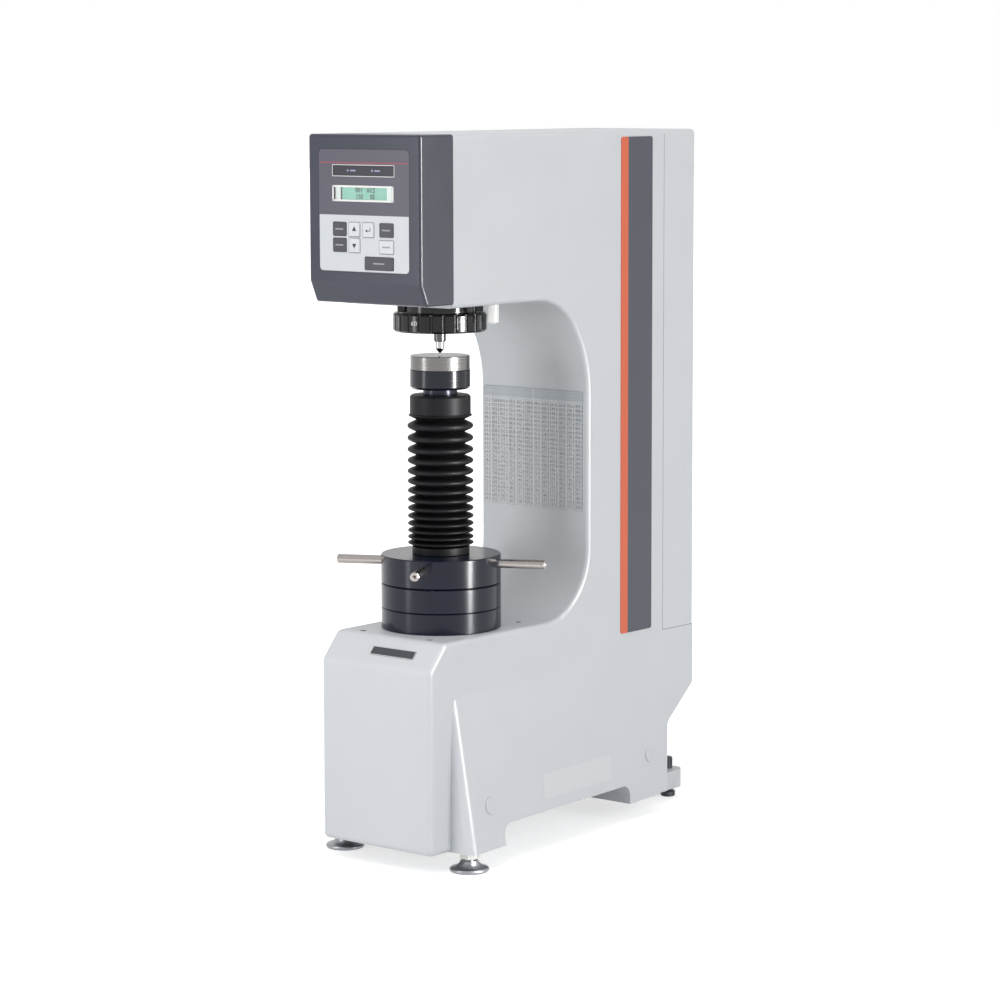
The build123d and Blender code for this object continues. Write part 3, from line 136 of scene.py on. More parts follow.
@contextmanager
def editing(
    piece: Piece, pick: Pick = Pick.VERT, chosen: Callable[[Vector], bool] | None = None
) -> Iterator[None]:
    """Work on a piece in edit mode.

    Args:
        piece: The piece.
        pick: Kind of element that is selected.
        chosen: Test of a vertex's place, or of a face's middle; all of them when left out.

    Returns:
        A context with the mesh in edit mode.
    """
    focus(piece)
    bpy.ops.object.mode_set(mode="EDIT")
    bpy.ops.mesh.select_mode(type=pick.value)
    bpy.ops.mesh.select_all(action="SELECT" if chosen is None else "DESELECT")
    if chosen is not None:
        bpy.ops.object.mode_set(mode="OBJECT")
        if pick is Pick.FACE:
            for face in piece.data.polygons:
                face.select = chosen(face.center)
        else:
            for vertex in piece.data.vertices:
                vertex.select = chosen(vertex.co)
        bpy.ops.object.mode_set(mode="EDIT")
    yield
    bpy.ops.object.mode_set(mode="OBJECT")


def tidy_normals() -> None:
    """Merge doubles and point all faces outwards, in edit mode."""
    bpy.ops.mesh.select_all(action="SELECT")
    bpy.ops.mesh.remove_doubles(threshold=1e-7)
    bpy.ops.mesh.normals_make_consistent(inside=False)


def extrude(away: Sequence[float]) -> None:
    """Extrude what is selected by that many metres, in edit mode."""
    bpy.ops.mesh.extrude_region_move(TRANSFORM_OT_translate={"value": tuple(away)})


def thicken(depth: float, border: float = 0.0) -> None:
    """Give the selected flat face its thickness towards the front, in edit mode.

    Args:
        depth: Thickness in millimetres.
        border: Width of the rim, when only a rim is wanted.
    """
    if border:
        bpy.ops.mesh.inset(thickness=border * MM)
        bpy.ops.mesh.delete(type="FACE")
        bpy.ops.mesh.select_all(action="SELECT")
    extrude((0, -depth * MM, 0))
    tidy_normals()


def settle(piece: Piece) -> None:
    """Put a piece's place into its mesh."""
    focus(piece)
    bpy.ops.object.transform_apply(location=True, rotation=True, scale=True)


def place(piece: Piece, at: Vector, turn: Sequence[float] = (0.0, 0.0, 0.0)) -> Piece:
    """Move a piece made at the origin to where it belongs.

    Args:
        piece: The piece.
        at: Its place in the row frame.
        turn: Degrees about X, then Y, then Z.

    Returns:
        The same piece, with its place in its mesh.
    """
    piece.rotation_euler = [math.radians(angle) for angle in turn]
    piece.location = at
    settle(piece)
    return piece


def finish_with(piece: Piece, kind: str, **values: object) -> None:
    """Add a modifier and apply it.

    Args:
        piece: The piece.
        kind: Type of the modifier.
        **values: Its settings.
    """
    focus(piece)
    modifier = piece.modifiers.new(kind.lower(), kind)
    for key, value in values.items():
        setattr(modifier, key, value)
    bpy.ops.object.modifier_apply(modifier=modifier.name)


def plate(
    name: str, width: float, height: float, depth: float, corner: float = 0.0, border: float = 0.0
) -> Piece:
    """Make a thin plate at the origin that faces the front; its back is at Y = 0.

    Args:
        name: Name of the piece.
        width: Millimetres along X.
        height: Millimetres along Z.
        depth: Its thickness in millimetres.
        corner: Radius of its corners.
        border: Width of the rim, when only a rim is wanted.

    Returns:
        The plate.
    """
    begin()
    bpy.ops.mesh.primitive_plane_add(size=1, rotation=(math.pi / 2, 0, 0))
    piece = in_hand(name)
    piece.scale = (width * MM, height * MM, 1)
    settle(piece)
    with editing(piece):
        if corner:
            bpy.ops.mesh.bevel(offset=corner * MM, segments=5, affect="VERTICES")
        bpy.ops.mesh.select_all(action="SELECT")
        thicken(depth, border)
    return piece


def flat_round(name: str, radius: float, sides: int) -> Piece:
    """Make a flat polygon at the origin that faces the front.

    Args:
        name: Name of the piece.
        radius: Millimetres from its middle to a corner.
        sides: Number of sides.

    Returns:
        The piece.
    """
    begin()
    bpy.ops.mesh.primitive_circle_add(vertices=sides, radius=radius * MM, fill_type="NGON",
                                      rotation=(math.pi / 2, 0, 0))
    piece = in_hand(name)
    settle(piece)
    return piece


def numerals(name: str, text: str, height: float, depth: float = INK,
             weight: float = 0.0) -> Piece:
    """Make flat numbers or marks at the origin that face the front.

    Args:
        name: Name of the piece.
        text: What they say; a new line for each row.
        height: Height of a digit in millimetres.
        depth: Thickness of the ink in millimetres.
        weight: Millimetres that each stroke is widened by on either side.

    Returns:
        The piece, as a mesh.
    """
    begin()
    bpy.ops.object.text_add(rotation=(math.pi / 2, 0, 0))
    piece = in_hand(name)
    piece.data.body = text
    piece.data.size = height * MM / DIGIT_SHARE
    piece.data.align_x = "CENTER"
    piece.data.align_y = "CENTER"
    piece.data.resolution_u = 2
    piece.data.extrude = depth * MM / 2
    piece.data.offset = weight * MM
    bpy.ops.object.convert(target="MESH")
    settle(piece)
    return piece


def turned(name: str, centre: Vector, profile: Sequence[tuple[float, float]], sides: int,
           capped: bool = True) -> Piece:
    """Turn a piece about an upright axis, ring by ring.

    Args:
        name: Name of the piece.
        centre: Foot of the axis, in the row frame.
        profile: Radius and height of each ring in millimetres, from the lowest up.
        sides: Number of sides.
        capped: Whether both ends are closed.

    Returns:
        The piece.
    """
    begin()
    radius, height = profile[0]
    low = centre + Vector((0, 0, height * MM))
    bpy.ops.mesh.primitive_circle_add(vertices=sides, radius=radius * MM, location=low)
    piece = in_hand(name)
    settle(piece)
    with editing(piece, Pick.EDGE):
        if capped:
            bpy.ops.mesh.edge_face_add()
            bpy.ops.mesh.select_all(action="SELECT")
        for next_radius, next_height in profile[1:]:
            extrude((0, 0, (next_height - height) * MM))
            share = next_radius / radius
            middle = centre + Vector((0, 0, next_height * MM))
            bpy.ops.transform.resize(value=(share, share, 1), center_override=middle)
            radius, height = next_radius, next_height
        tidy_normals()
    return piece


def together(name: str, pieces: Sequence[Piece]) -> Piece:
    """Join pieces of one finish into one.

    Args:
        name: Name of the joined piece.
        pieces: The pieces.

    Returns:
        The joined piece.
    """
    focus(*pieces)
    if len(pieces) > 1:
        bpy.ops.object.join()
    return in_hand(name)


# ------------------------------------------------------------------ node trees
class Steps:
    """Node tree that is written step by step."""

    def __init__(self, tree: bpy.types.NodeTree) -> None:
        """Keep the tree."""
        self.tree = tree

    def step(self, kind: str, settings: dict[str, object] | None = None, **inputs: object) -> bpy.types.Node:
        """Add a node.

        Args:
            kind: Type of the node, without its leading "ShaderNode".
            settings: Its properties.
            **inputs: A value or another node's output for each input; i0, i1, ... go by number.

        Returns:
            The node.
        """
        node = self.tree.nodes.new("ShaderNode" + kind)
        for key, value in (settings or {}).items():
            setattr(node, key, value)
        for key, value in inputs.items():
            by_number = key[0] == "i" and key[1:].isdigit()
            socket = node.inputs[int(key[1:]) if by_number else key.replace("_", " ")]
            if isinstance(value, Socket):
                self.tree.links.new(value, socket)
            else:
                socket.default_value = value
        return node

    def math(self, operation: str, *values: object) -> Socket:
        """Add a Math node that works on numbers or outputs, and give its result."""
        inputs = {f"i{index}": value for index, value in enumerate(values)}
        return self.step("Math", {"operation": operation}, **inputs).outputs[0]

    def ramp(self, value: Socket, start: float, end: float, low: float = 0.0, high: float = 1.0) -> Socket:
        """Turn the range from start to end into the range from low to high."""
        return self.step("MapRange", Value=value, From_Min=start, From_Max=end, To_Min=low,
                         To_Max=high).outputs[0]


class Recipe(Steps):
    """Node tree of one material."""

    def __init__(self, name: str) -> None:
        """Start a material with a Principled shader.

        Args:
            name: Name of the material.
        """
        self.material = bpy.data.materials.new(name)
        self.material.use_nodes = True
        super().__init__(self.material.node_tree)
        self.tree.nodes.clear()
        self.shader = self.tree.nodes.new("ShaderNodeBsdfPrincipled")
        output = self.tree.nodes.new("ShaderNodeOutputMaterial")
        self.tree.links.new(self.shader.outputs["BSDF"], output.inputs["Surface"])

    def place(self, centre: Vector | None = None) -> Socket:
        """Give the place on the piece, in metres, measured from a centre.

        Args:
            centre: Point that becomes the origin, in the row frame.

        Returns:
            The coordinates.
        """
        place = self.step("TexCoord").outputs["Object"]
        if centre is None:
            return place
        return self.step("VectorMath", {"operation": "SUBTRACT"}, i0=place, i1=tuple(centre)).outputs[0]

    def axes(self, vector: Socket) -> bpy.types.NodeOutputs:
        """Split a vector into its three parts."""
        return self.step("SeparateXYZ", i0=vector).outputs

    def reach(self, parts: bpy.types.NodeOutputs) -> Socket:
        """Give the distance from the upright axis through the origin."""
        flat = self.step("CombineXYZ", X=parts[0], Y=parts[1]).outputs[0]
        return self.step("VectorMath", {"operation": "LENGTH"}, i0=flat).outputs["Value"]

    def noise(self, vector: Socket, scale: float, detail: float = 2.0) -> Socket:
        """Give noise of that scale, in repeats per metre."""
        node = self.step("TexNoise", Vector=vector, Scale=scale, Detail=detail)
        return node.outputs["Fac"]

    def between(self, share: Socket, low: float, high: float) -> Socket:
        """Spread a share of 0.3 to 0.7 over the range from low to high."""
        return self.ramp(share, 0.3, 0.7, low, high)

    def blend(self, share: Socket, first: object, second: object) -> Socket:
        """Mix two colours.

        Args:
            share: 0 for the first, 1 for the second.
            first: A colour or an output.
            second: A colour or an output.

        Returns:
            The colour.
        """
        def full(value: object) -> object:
            """Give a colour its fourth number."""
            return (*value, 1.0) if isinstance(value, tuple) else value

        node = self.step("Mix", {"data_type": "RGBA"}, i0=share, i6=full(first), i7=full(second))
        return node.outputs[2]

    def window(self, across: Socket, up: Socket, box: Sequence[float],
               corner: float = 0.0) -> Socket:
        """Mask a rounded rectangle.

        Args:
            across: First coordinate in metres.
            up: Second coordinate in metres.
            box: Left, right, low and high in the same metres.
            corner: Radius of its corners.

        Returns:
            1 inside, 0 outside.
        """
        left, right, low, high = box
        gaps = []
        for value, start, end in ((across, left, right), (up, low, high)):
            away = self.math("ABSOLUTE", self.math("SUBTRACT", value, (start + end) / 2))
            gaps.append(self.math("SUBTRACT", away, (end - start) / 2 - corner))
        outside = [self.math("MAXIMUM", gap, 0.0) for gap in gaps]
        squares = [self.math("MULTIPLY", gap, gap) for gap in outside]
        round_part = self.math("SQRT", self.math("ADD", *squares))
        flat_part = self.math("MINIMUM", self.math("MAXIMUM", *gaps), 0.0)
        reach = self.math("SUBTRACT", self.math("ADD", round_part, flat_part), corner)
        return self.ramp(reach, EDGE_SOFTNESS, -EDGE_SOFTNESS)

    def vary(self, share: Socket, colour: Colour, spread: float) -> Socket:
        """Let a colour run from darker to lighter by that spread."""
        return self.blend(share, shade(colour, 1 - spread), shade(colour, 1 + spread))

    def feed(self, name: str, output: Socket) -> None:
        """Link an output to the shader's input of that name."""
        self.tree.links.new(output, self.shader.inputs[name])

    def relief(self, height: Socket, depth: float, strength: float = 1.0) -> None:
        """Raise the surface by a height of 0 to 1, with that depth in metres."""
        bump = self.step("Bump", Height=height, Distance=depth, Strength=strength)
        self.feed("Normal", bump.outputs["Normal"])

    def paint(self, colour: Socket, roughness: Socket) -> None:
        """Feed the shader's colour and roughness."""
        self.feed("Base Color", colour)
        self.feed("Roughness", roughness)

    def set(self, **values: object) -> None:
        """Set sockets of the shader that are the same all over."""
        for key, value in values.items():
            self.shader.inputs[key.replace("_", " ")].default_value = value


def shade(colour: Colour, share: float) -> Colour:
    """Make a colour lighter or darker by a share."""
    return tuple(min(value * share, 1.0) for value in colour)


# ------------------------------------------------------------------ finishes
@dataclass(frozen=True)
class Finish:
    """A surface with a colour that varies a little."""

    colour: Colour
    roughness: float = 0.4

    def material(self, name: str) -> bpy.types.Material:
        """Write the finish's node tree.

        Args:
            name: Name of the material.

        Returns:
            The material.
        """
        recipe = Recipe(name)
        self.write(recipe)
        return recipe.material

    def write(self, recipe: Recipe) -> None:
        """Add the finish's own nodes to the recipe.

        Args:
            recipe: The node tree.
        """
        cloud = recipe.noise(recipe.place(), 14.0, 4.0)
        recipe.paint(recipe.vary(cloud, self.colour, 0.03),
                     recipe.between(cloud, self.roughness - 0.03, self.roughness + 0.03))


@dataclass(frozen=True)
class Enamel(Finish):
    """Sprayed and baked paint with a fine orange peel."""

    peel: float = 0.00003
    peel_scale: float = 700.0

    def write(self, recipe: Recipe) -> None:
        """Add a soft cloud of tone and the orange peel.

        Args:
            recipe: The node tree.
        """
        super().write(recipe)
        recipe.relief(recipe.noise(recipe.place(), self.peel_scale, 1.5), self.peel, 0.35)
        recipe.set(Specular_IOR_Level=0.45)


@dataclass(frozen=True)
class MouldedPlastic(Finish):
    """Moulding with a spark-eroded grain."""

    grain: float = 2200.0
    grain_depth: float = 0.00004

    def write(self, recipe: Recipe) -> None:
        """Add the grain, which also breaks up the gloss."""
        super().write(recipe)
        recipe.relief(recipe.noise(recipe.place(), self.grain, 2.0), self.grain_depth, 0.5)


@dataclass(frozen=True)
class Rubber(Finish):
    """Matt rubber, painted lighter just under the folds' ridges as a painted highlight."""

    centre: tuple[float, float] = (0.0, AXIS_Y)
    ridge: float = 0.0355
    # reach of the painted highlight inside the ridge, in metres
    sheen_from: float = 0.0040
    sheen_to: float = 0.0012

    def write(self, recipe: Recipe) -> None:
        """Add fine grain, and the painted highlight under the ridges by distance from the axis.

        Args:
            recipe: The node tree.
        """
        place = recipe.place(Vector((*self.centre, 0)))
        away = recipe.reach(recipe.axes(place))
        rim = recipe.ramp(away, self.ridge - self.sheen_from, self.ridge - self.sheen_to)
        grain = recipe.noise(place, 1500.0, 3.0)
        # painted highlight: lighter rubber just inside the ridge's radius, broken up by the grain
        ridge_sheen = recipe.math("MULTIPLY", rim, recipe.between(grain, 0.6, 1.0))
        recipe.paint(recipe.blend(ridge_sheen, self.colour, shade(self.colour, 2.6)),
                     recipe.between(grain, self.roughness - 0.08, self.roughness + 0.06))
        recipe.relief(grain, 0.00003, 0.6)
        recipe.set(Specular_IOR_Level=0.15)


@dataclass(frozen=True)
class Turned(Finish):
    """Turned steel: fine rings about an upright axis."""

    centre: tuple[float, float] = (0.0, AXIS_Y)
    rings: float = 1800.0
    depth: float = 0.00002
    metallic: float = 1.0
    contrast: float = 0.12
    gloss: float = 0.5

    def write(self, recipe: Recipe) -> None:
        """Run noise along radius and height only, so that it draws rings.

        Args:
            recipe: The node tree.
        """
        parts = recipe.axes(recipe.place(Vector((*self.centre, 0))))
        along = recipe.step("CombineXYZ", X=recipe.reach(parts), Y=parts[2]).outputs[0]
        ring = recipe.noise(along, self.rings, 3.0)
        recipe.paint(recipe.vary(ring, self.colour, self.contrast),
                     recipe.between(ring, self.roughness - 0.06, self.roughness + 0.06))
        recipe.relief(ring, self.depth, 0.4)
        recipe.set(Metallic=self.metallic, Specular_IOR_Level=self.gloss)


@dataclass(frozen=True)
class Brushed(Finish):
    """Ground or brushed metal with a lay along one direction."""

    lay: Colour = (1.0, 0.03, 1.0)
    metallic: float = 1.0

    def write(self, recipe: Recipe) -> None:
        """Stretch noise along the lay.

        Args:
            recipe: The node tree.
        """
        stretched = recipe.step("Mapping", Vector=recipe.place(), Scale=self.lay).outputs[0]
        lines = recipe.noise(stretched, 2400.0, 3.0)
        recipe.paint(recipe.blend(lines, shade(self.colour, 0.85), shade(self.colour, 1.12)),
                     recipe.between(lines, self.roughness - 0.06, self.roughness + 0.08))
        recipe.relief(lines, 0.00001, 0.4)
        recipe.set(Metallic=self.metallic)


@dataclass(frozen=True)
class Clear(Finish):
    """Clear or smoked window."""

    def write(self, recipe: Recipe) -> None:
        """Let light through, with a faint haze."""
        super().write(recipe)
        recipe.set(Transmission_Weight=1.0, IOR=1.46)


@dataclass(frozen=True)
class KeypadFilm(Finish):
    """Printed overlay: dark outline, pale field for the keys and a thin red line."""

    field: Colour = tint(205, 208, 213)
    line: Colour = tint(176, 62, 70)
    edge: Colour = tint(30, 30, 36)
    outline: tuple[float, ...] = (-0.0628, 0.0628, 0.6367, 0.7643)
    lower: tuple[float, ...] = (-0.0622, 0.0622, 0.6373, 0.7060)
    red: tuple[float, ...] = (-0.0612, 0.0612, 0.7501, 0.7508)
    field_top: float = 0.6960
    corner: float = 0.005
    lower_corner: float = 0.0045

    def write(self, recipe: Recipe) -> None:
        """Stack the printed colours one over another.

        Args:
            recipe: The node tree.
        """
        place = recipe.place()
        parts = recipe.axes(place)
        cloud = recipe.noise(place, 30.0, 3.0)
        base = recipe.vary(cloud, self.colour, 0.03)
        inside = recipe.window(parts[0], parts[2], self.outline, self.corner)
        base = recipe.blend(inside, self.edge, base)
        low_part = recipe.math("LESS_THAN", parts[2], self.field_top)
        lower = recipe.window(parts[0], parts[2], self.lower, self.lower_corner)
        pale = recipe.math("MULTIPLY", lower, low_part)
        base = recipe.blend(pale, base, self.field)
        base = recipe.blend(recipe.window(parts[0], parts[2], self.red), base, self.line)
        grain = recipe.noise(place, 2600.0, 1.0)
        recipe.paint(base, recipe.between(grain, self.roughness - 0.05, self.roughness + 0.05))
        recipe.relief(grain, 0.00001, 0.4)


@dataclass(frozen=True)
class Screen(Finish):
    """Display face: a pale surround and a lit field of fine cells."""

    surround: Colour = tint(226, 229, 230)
    lit: tuple[float, ...] = (-0.0310, 0.0310, 0.7085, 0.7280)
    cells: float = 1600.0
    cell_gap: float = 0.12
    strength: float = 0.12

    def write(self, recipe: Recipe) -> None:
        """Draw the lit field with its grid of cells.

        Args:
            recipe: The node tree.
        """
        place = recipe.place()
        parts = recipe.axes(place)
        lit = recipe.window(parts[0], parts[2], self.lit)
        grid = []
        for part in (parts[0], parts[2]):
            share = recipe.math("FRACT", recipe.math("MULTIPLY", part, self.cells))
            grid.append(recipe.math("GREATER_THAN", share, self.cell_gap))
        cell = recipe.math("MULTIPLY", *grid)
        glow = recipe.blend(cell, shade(self.colour, 0.9), self.colour)
        haze = recipe.between(recipe.noise(place, 900.0), 0.3, 0.4)
        recipe.paint(recipe.blend(lit, self.surround, glow), haze)
        recipe.feed("Emission Color", recipe.blend(lit, (0.0, 0.0, 0.0), glow))
        recipe.set(Emission_Strength=self.strength)


@dataclass(frozen=True)
class StripedTrim(Finish):
    """Film stripe in two colours, parted along Y."""

    front: Colour = tint(214, 92, 48)
    parting: float = 0.0990
    half_blend: float = 0.0001

    def write(self, recipe: Recipe) -> None:
        """Choose the colour by Y.

        Args:
            recipe: The node tree.
        """
        place = recipe.place()
        along = recipe.axes(place)[1]
        behind = recipe.ramp(along, self.parting - self.half_blend, self.parting + self.half_blend)
        cloud = recipe.noise(place, 20.0, 3.0)
        back = recipe.vary(cloud, self.colour, 0.04)
        front = recipe.vary(cloud, self.front, 0.03)
        recipe.paint(recipe.blend(behind, front, back),
                     recipe.between(cloud, self.roughness - 0.03, self.roughness + 0.03))
        recipe.relief(recipe.noise(place, 1500.0), 0.00001, 0.4)


@dataclass(frozen=True)
class CircuitBoard(Finish):
    """Solder mask over copper runs."""

    def write(self, recipe: Recipe) -> None:
        """Draw runs with bricks laid at two scales.

        Args:
            recipe: The node tree.
        """
        place = recipe.place()
        upright = recipe.step("Mapping", Vector=place, Rotation=(math.pi / 2, 0, 0)).outputs[0]
        runs = recipe.step("TexBrick", Vector=upright, Scale=220.0, Mortar_Size=0.03,
                           Color1=(*self.colour, 1), Color2=(*shade(self.colour, 1.25), 1),
                           Mortar=(*shade(self.colour, 1.9), 1))
        recipe.paint(runs.outputs["Color"], recipe.between(recipe.noise(place, 300.0), 0.3, 0.5))


@dataclass(frozen=True)
class TableArea:
    """Where the table's rows and columns lie on the throat's wall, in millimetres."""

    left: float = -73.0
    right: float = 70.0
    low: float = 361.0
    high: float = 495.0
    header: float = 12.0
    margin: float = 2.0
    columns: int = 12
    rows: int = 24

    @property
    def pitch(self) -> float:
        """Give the width of one column."""
        return (self.right - self.left) / self.columns

    @property
    def row_pitch(self) -> float:
        """Give the height of one row."""
        return (self.high - self.header - self.low - 2 * self.margin) / self.rows


@dataclass(frozen=True)
class TableFilm(Finish):
    """Printed table: a pale sheet with tinted columns, a header band and thin rules."""

    area: TableArea = TableArea()
    tinted: Colour = tint(206, 210, 213)
    band: Colour = tint(166, 174, 182)
    rule: float = 0.14
    print_share: float = 0.6
    half_fold: float = 0.0007

    def write(self, recipe: Recipe) -> None:
        """Rule the sheet.

        Args:
            recipe: The node tree.
        """
        place = recipe.place()
        parts = recipe.axes(place)
        area = self.area
        across = recipe.math("SUBTRACT", parts[0], area.left * MM)
        column = recipe.math("DIVIDE", across, area.pitch * MM)
        pair = recipe.math("FRACT", recipe.math("DIVIDE", column, 2.0))
        every_other = recipe.math("GREATER_THAN", pair, 0.5)
        body = recipe.blend(every_other, self.colour, self.tinted)
        up = recipe.math("SUBTRACT", parts[2], (area.low + area.margin) * MM)
        row = recipe.math("DIVIDE", up, area.row_pitch * MM)
        rule = recipe.math("LESS_THAN", recipe.math("FRACT", row), self.rule)
        top = recipe.math("GREATER_THAN", parts[2], (area.high - area.header) * MM)
        for print_mask in (rule, top):
            body = recipe.blend(recipe.math("MULTIPLY", print_mask, self.print_share), body, self.band)
        middle = (area.left + area.right) / 2 * MM
        strip = (middle - self.half_fold, middle + self.half_fold, area.low * MM, area.high * MM)
        fold = recipe.window(parts[0], parts[2], strip)
        body = recipe.blend(fold, body, shade(self.colour, 0.95))
        recipe.paint(body, recipe.between(recipe.noise(place, 700.0), 0.32, 0.42))


class Shelf:
    """Every finish of the machine, each made into a material once."""

    def __init__(self) -> None:
        """Choose a finish for each of the record's material slots, and for the added pieces."""
        grey, pale = tint(206, 209, 213), tint(236, 236, 234)
        blackened = {"metallic": 0.0, "rings": 1400.0, "depth": 0.000002}
        self.finishes: dict[str, Finish] = {
            "casting_paint": Enamel(grey, 0.40),
            "cover_paint": Enamel(grey, 0.40),
            "zinc_screws": Brushed(tint(188, 188, 184), 0.34, (1.0, 1.0, 0.05)),
            "dark_housing": MouldedPlastic(tint(44, 48, 64), 0.32),
            "overlay_film": KeypadFilm(tint(82, 79, 92), 0.34),
            "display_glass": Clear(tint(246, 250, 248), 0.05),
            "indicator_glass": Finish(tint(48, 47, 56), 0.22),
            "display_body": Screen(tint(128, 184, 168), 0.35),
            "circuit_board": CircuitBoard(tint(24, 92, 56), 0.4),
            "trim_film": StripedTrim(tint(54, 59, 72), 0.38),
            "plug_plastic": MouldedPlastic(tint(203, 206, 210), 0.38),
            "bronze": Turned(tint(176, 132, 84), 0.34),
            "spring_steel": Brushed(tint(132, 132, 136), 0.36, (1.0, 1.0, 0.2)),
            "machined_steel": Brushed(tint(176, 178, 182), 0.34),
            "hardened_steel": Turned(tint(196, 198, 202), 0.22),
            "motor_paint": Enamel(tint(52, 53, 58), 0.38),
            "black_dial": Turned(tint(8, 8, 10), 0.14, metallic=0.0, rings=600.0, depth=0.000002, gloss=0.35),
            "lamp_plastic": MouldedPlastic(tint(240, 240, 238), 0.32),
            "black_oxide": Turned(tint(15, 19, 32), 0.20, gloss=0.35, **blackened),
            "blued_drum": Turned(tint(11, 17, 36), 0.21, gloss=0.28, **blackened),
            "bellows_rubber": Rubber(tint(13, 13, 15), 0.48),
            "sheet_metal": Brushed(tint(190, 192, 196), 0.40, (0.04, 1.0, 1.0)),
            "black_plastic": MouldedPlastic(tint(28, 28, 30), 0.42),
            "ground_anvil": Turned(tint(114, 113, 112), 0.26, contrast=0.10),
            "rod_chrome": Brushed(tint(164, 158, 155), 0.22, (0.3, 0.3, 1.0)),
            "indenter_chrome": Turned(tint(176, 176, 176), 0.16),
            "rocker_plastic": MouldedPlastic(tint(22, 22, 24), 0.20, grain_depth=0.00001),
            "foot_steel": Turned(tint(150, 152, 156), 0.30, centre=(FOOT_X, FOOT_Y)),
            "stud_steel": Brushed(tint(58, 61, 66), 0.36, (1.0, 1.0, 0.2), metallic=0.6),
            "key_dark": MouldedPlastic(tint(58, 57, 67), 0.36),
            "key_light": MouldedPlastic(tint(212, 214, 218), 0.36),
            "collar_rubber": Rubber(tint(24, 25, 29), 0.46, ridge=0.060),
            "neck_steel": Turned(tint(44, 46, 54), 0.26, metallic=0.8),
            "holder_steel": Turned(tint(88, 87, 86), 0.20),
            "light_ink": Finish(pale, 0.42),
            "grey_ink": Finish(tint(150, 152, 160), 0.42),
            "dark_ink": Finish(tint(30, 30, 34), 0.42),
            "table_ink": Finish(tint(72, 78, 92), 0.42),
            "seam_shadow": Finish(tint(70, 72, 78), 0.60),
            "label_film": Finish(tint(212, 214, 218), 0.34),
            "badge_film": Finish(tint(52, 54, 62), 0.36),
            "table_film": TableFilm(tint(215, 216, 217), 0.36),
            "lens": Clear(tint(250, 250, 246), 0.08),
            "diode": Finish(tint(146, 154, 182), 0.25),
        }
        self.materials: dict[str, bpy.types.Material] = {}

    def take(self, name: str) -> bpy.types.Material:
        """Give the material of a finish.

        Args:
            name: Name of the finish.

        Returns:
            The material.
        """
        if name not in self.materials:
            self.materials[name] = self.finishes[name].material(name)
        return self.materials[name]

    def dress(self, piece: Piece, name: str) -> None:
        """Give a piece the material of the finish with that name."""
        piece.data.materials.clear()
        piece.data.materials.append(self.take(name))


class Part:
    """What every sub-assembly can do: finish a piece and hang it on a body."""

    def __init__(self, shelf: Shelf) -> None:
        """Keep the shelf of finishes at hand."""
        self.shelf = shelf

    def hang(self, piece: Piece, body: str, slot: str, finish: str | None = None,
             smooth: float = 0.0) -> Piece:
        """Dress a piece, let it ride on a body and log it.

        Args:
            piece: The piece.
            body: Name of the CAD body.
            slot: The record's material slot that it belongs to.
            finish: Name of its finish, when it has one of its own.
            smooth: Degrees under which its edges are shaded smooth.

        Returns:
            The piece.
        """
        if smooth:
            focus(piece)
            bpy.ops.object.shade_smooth_by_angle(angle=math.radians(smooth))
        self.shelf.dress(piece, finish or slot)
        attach(piece, body)
        LOG.info("%s rides on %s: %d faces", piece.name, body, len(piece.data.polygons))
        return piece


# ------------------------------------------------------------------ the machine
class CadFinishes(Part):
    """Finishes of all the CAD pieces, by their slots in the record."""

    def build(self) -> None:
        """Dress every CAD piece."""
        for entry in frame["record"]["subparts"]:
            self.shelf.dress(frame["nodes"][entry["node"]], entry["material_slot"])
        right_foot = self.shelf.finishes["foot_steel"]
        self.shelf.finishes["foot_steel_left"] = replace(right_foot, centre=(-FOOT_X, FOOT_Y))
        self.shelf.dress(frame["nodes"]["front_foot_left"], "foot_steel_left")
        for node, finish in (("bellows_collar", "collar_rubber"), ("elevating_screw", "neck_steel"),
                             ("indenter_holder", "holder_steel")):
            self.shelf.dress(frame["nodes"][node], finish)
        LOG.info("%d CAD pieces dressed", len(frame["nodes"]))


@dataclass
class Bellows:
    """Rubber bellows round the elevating screw; its folds close up towards the bottom."""

    part: Part
    ridge: float = 35.5
    valley: float = 26.3
    lip: float = 480.0
    cuff: tuple[float, float, float] = (31.0, 328.1, 333.6)
    folds: int = 15
    top_pitch: float = 12.8
    low_pitch: float = 5.5
    wall: float = 1.2
    closed_share: float = 0.339
    bead: tuple[tuple[float, float], ...] = (
        (0.05, 0.0), (0.11, 0.35), (0.17, 1.0), (0.23, 2.2), (0.32, 4.8), (0.42, 7.8), (0.47, 8.8),
    )       # share of the pitch away from the ridge, and how far inside it
    first_bead: int = 4
    cuff_edge: float = 0.8
    lip_inset: float = 3.0
    sides: int = 96

    def profile(self) -> list[tuple[float, float]]:
        """List radius and height of every ring, from the cuff up.

        Returns:
            The rings in millimetres.
        """
        radius, low, high = self.cuff
        step = (self.top_pitch - self.low_pitch) / (self.folds - 1)
        raw = [self.low_pitch + step * index for index in range(self.folds)]
        fit = (self.lip - high) / sum(raw)
        rings = [(radius, low), (radius, high - self.cuff_edge)]
        height = high
        for index, pitch in enumerate(raw):
            rise = pitch * fit
            above = [(self.ridge - inwards, height + share * rise) for share, inwards in self.bead]
            height += rise
            below = [(self.ridge - inwards, height - share * rise) for share, inwards in reversed(self.bead)]
            rings += above[0 if index else self.first_bead:] + [(self.valley, height - rise / 2)]
            rings += below if index < self.folds - 1 else below[:-2]
        rings.append((self.ridge - self.lip_inset, height))
        return rings

    def build(self) -> None:
        """Turn the bellows, give it its wall and hang it on the frame in place of the CAD bellows."""
        piece = turned("bellows_folds", spot(0, 0, 0), self.profile(), self.sides, capped=False)
        finish_with(piece, "SOLIDIFY", thickness=self.wall * MM, offset=-1.0, use_even_offset=True)
        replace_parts(self.part.hang(piece, "frame", "bellows_rubber", smooth=50), "bellows")
        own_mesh(piece)


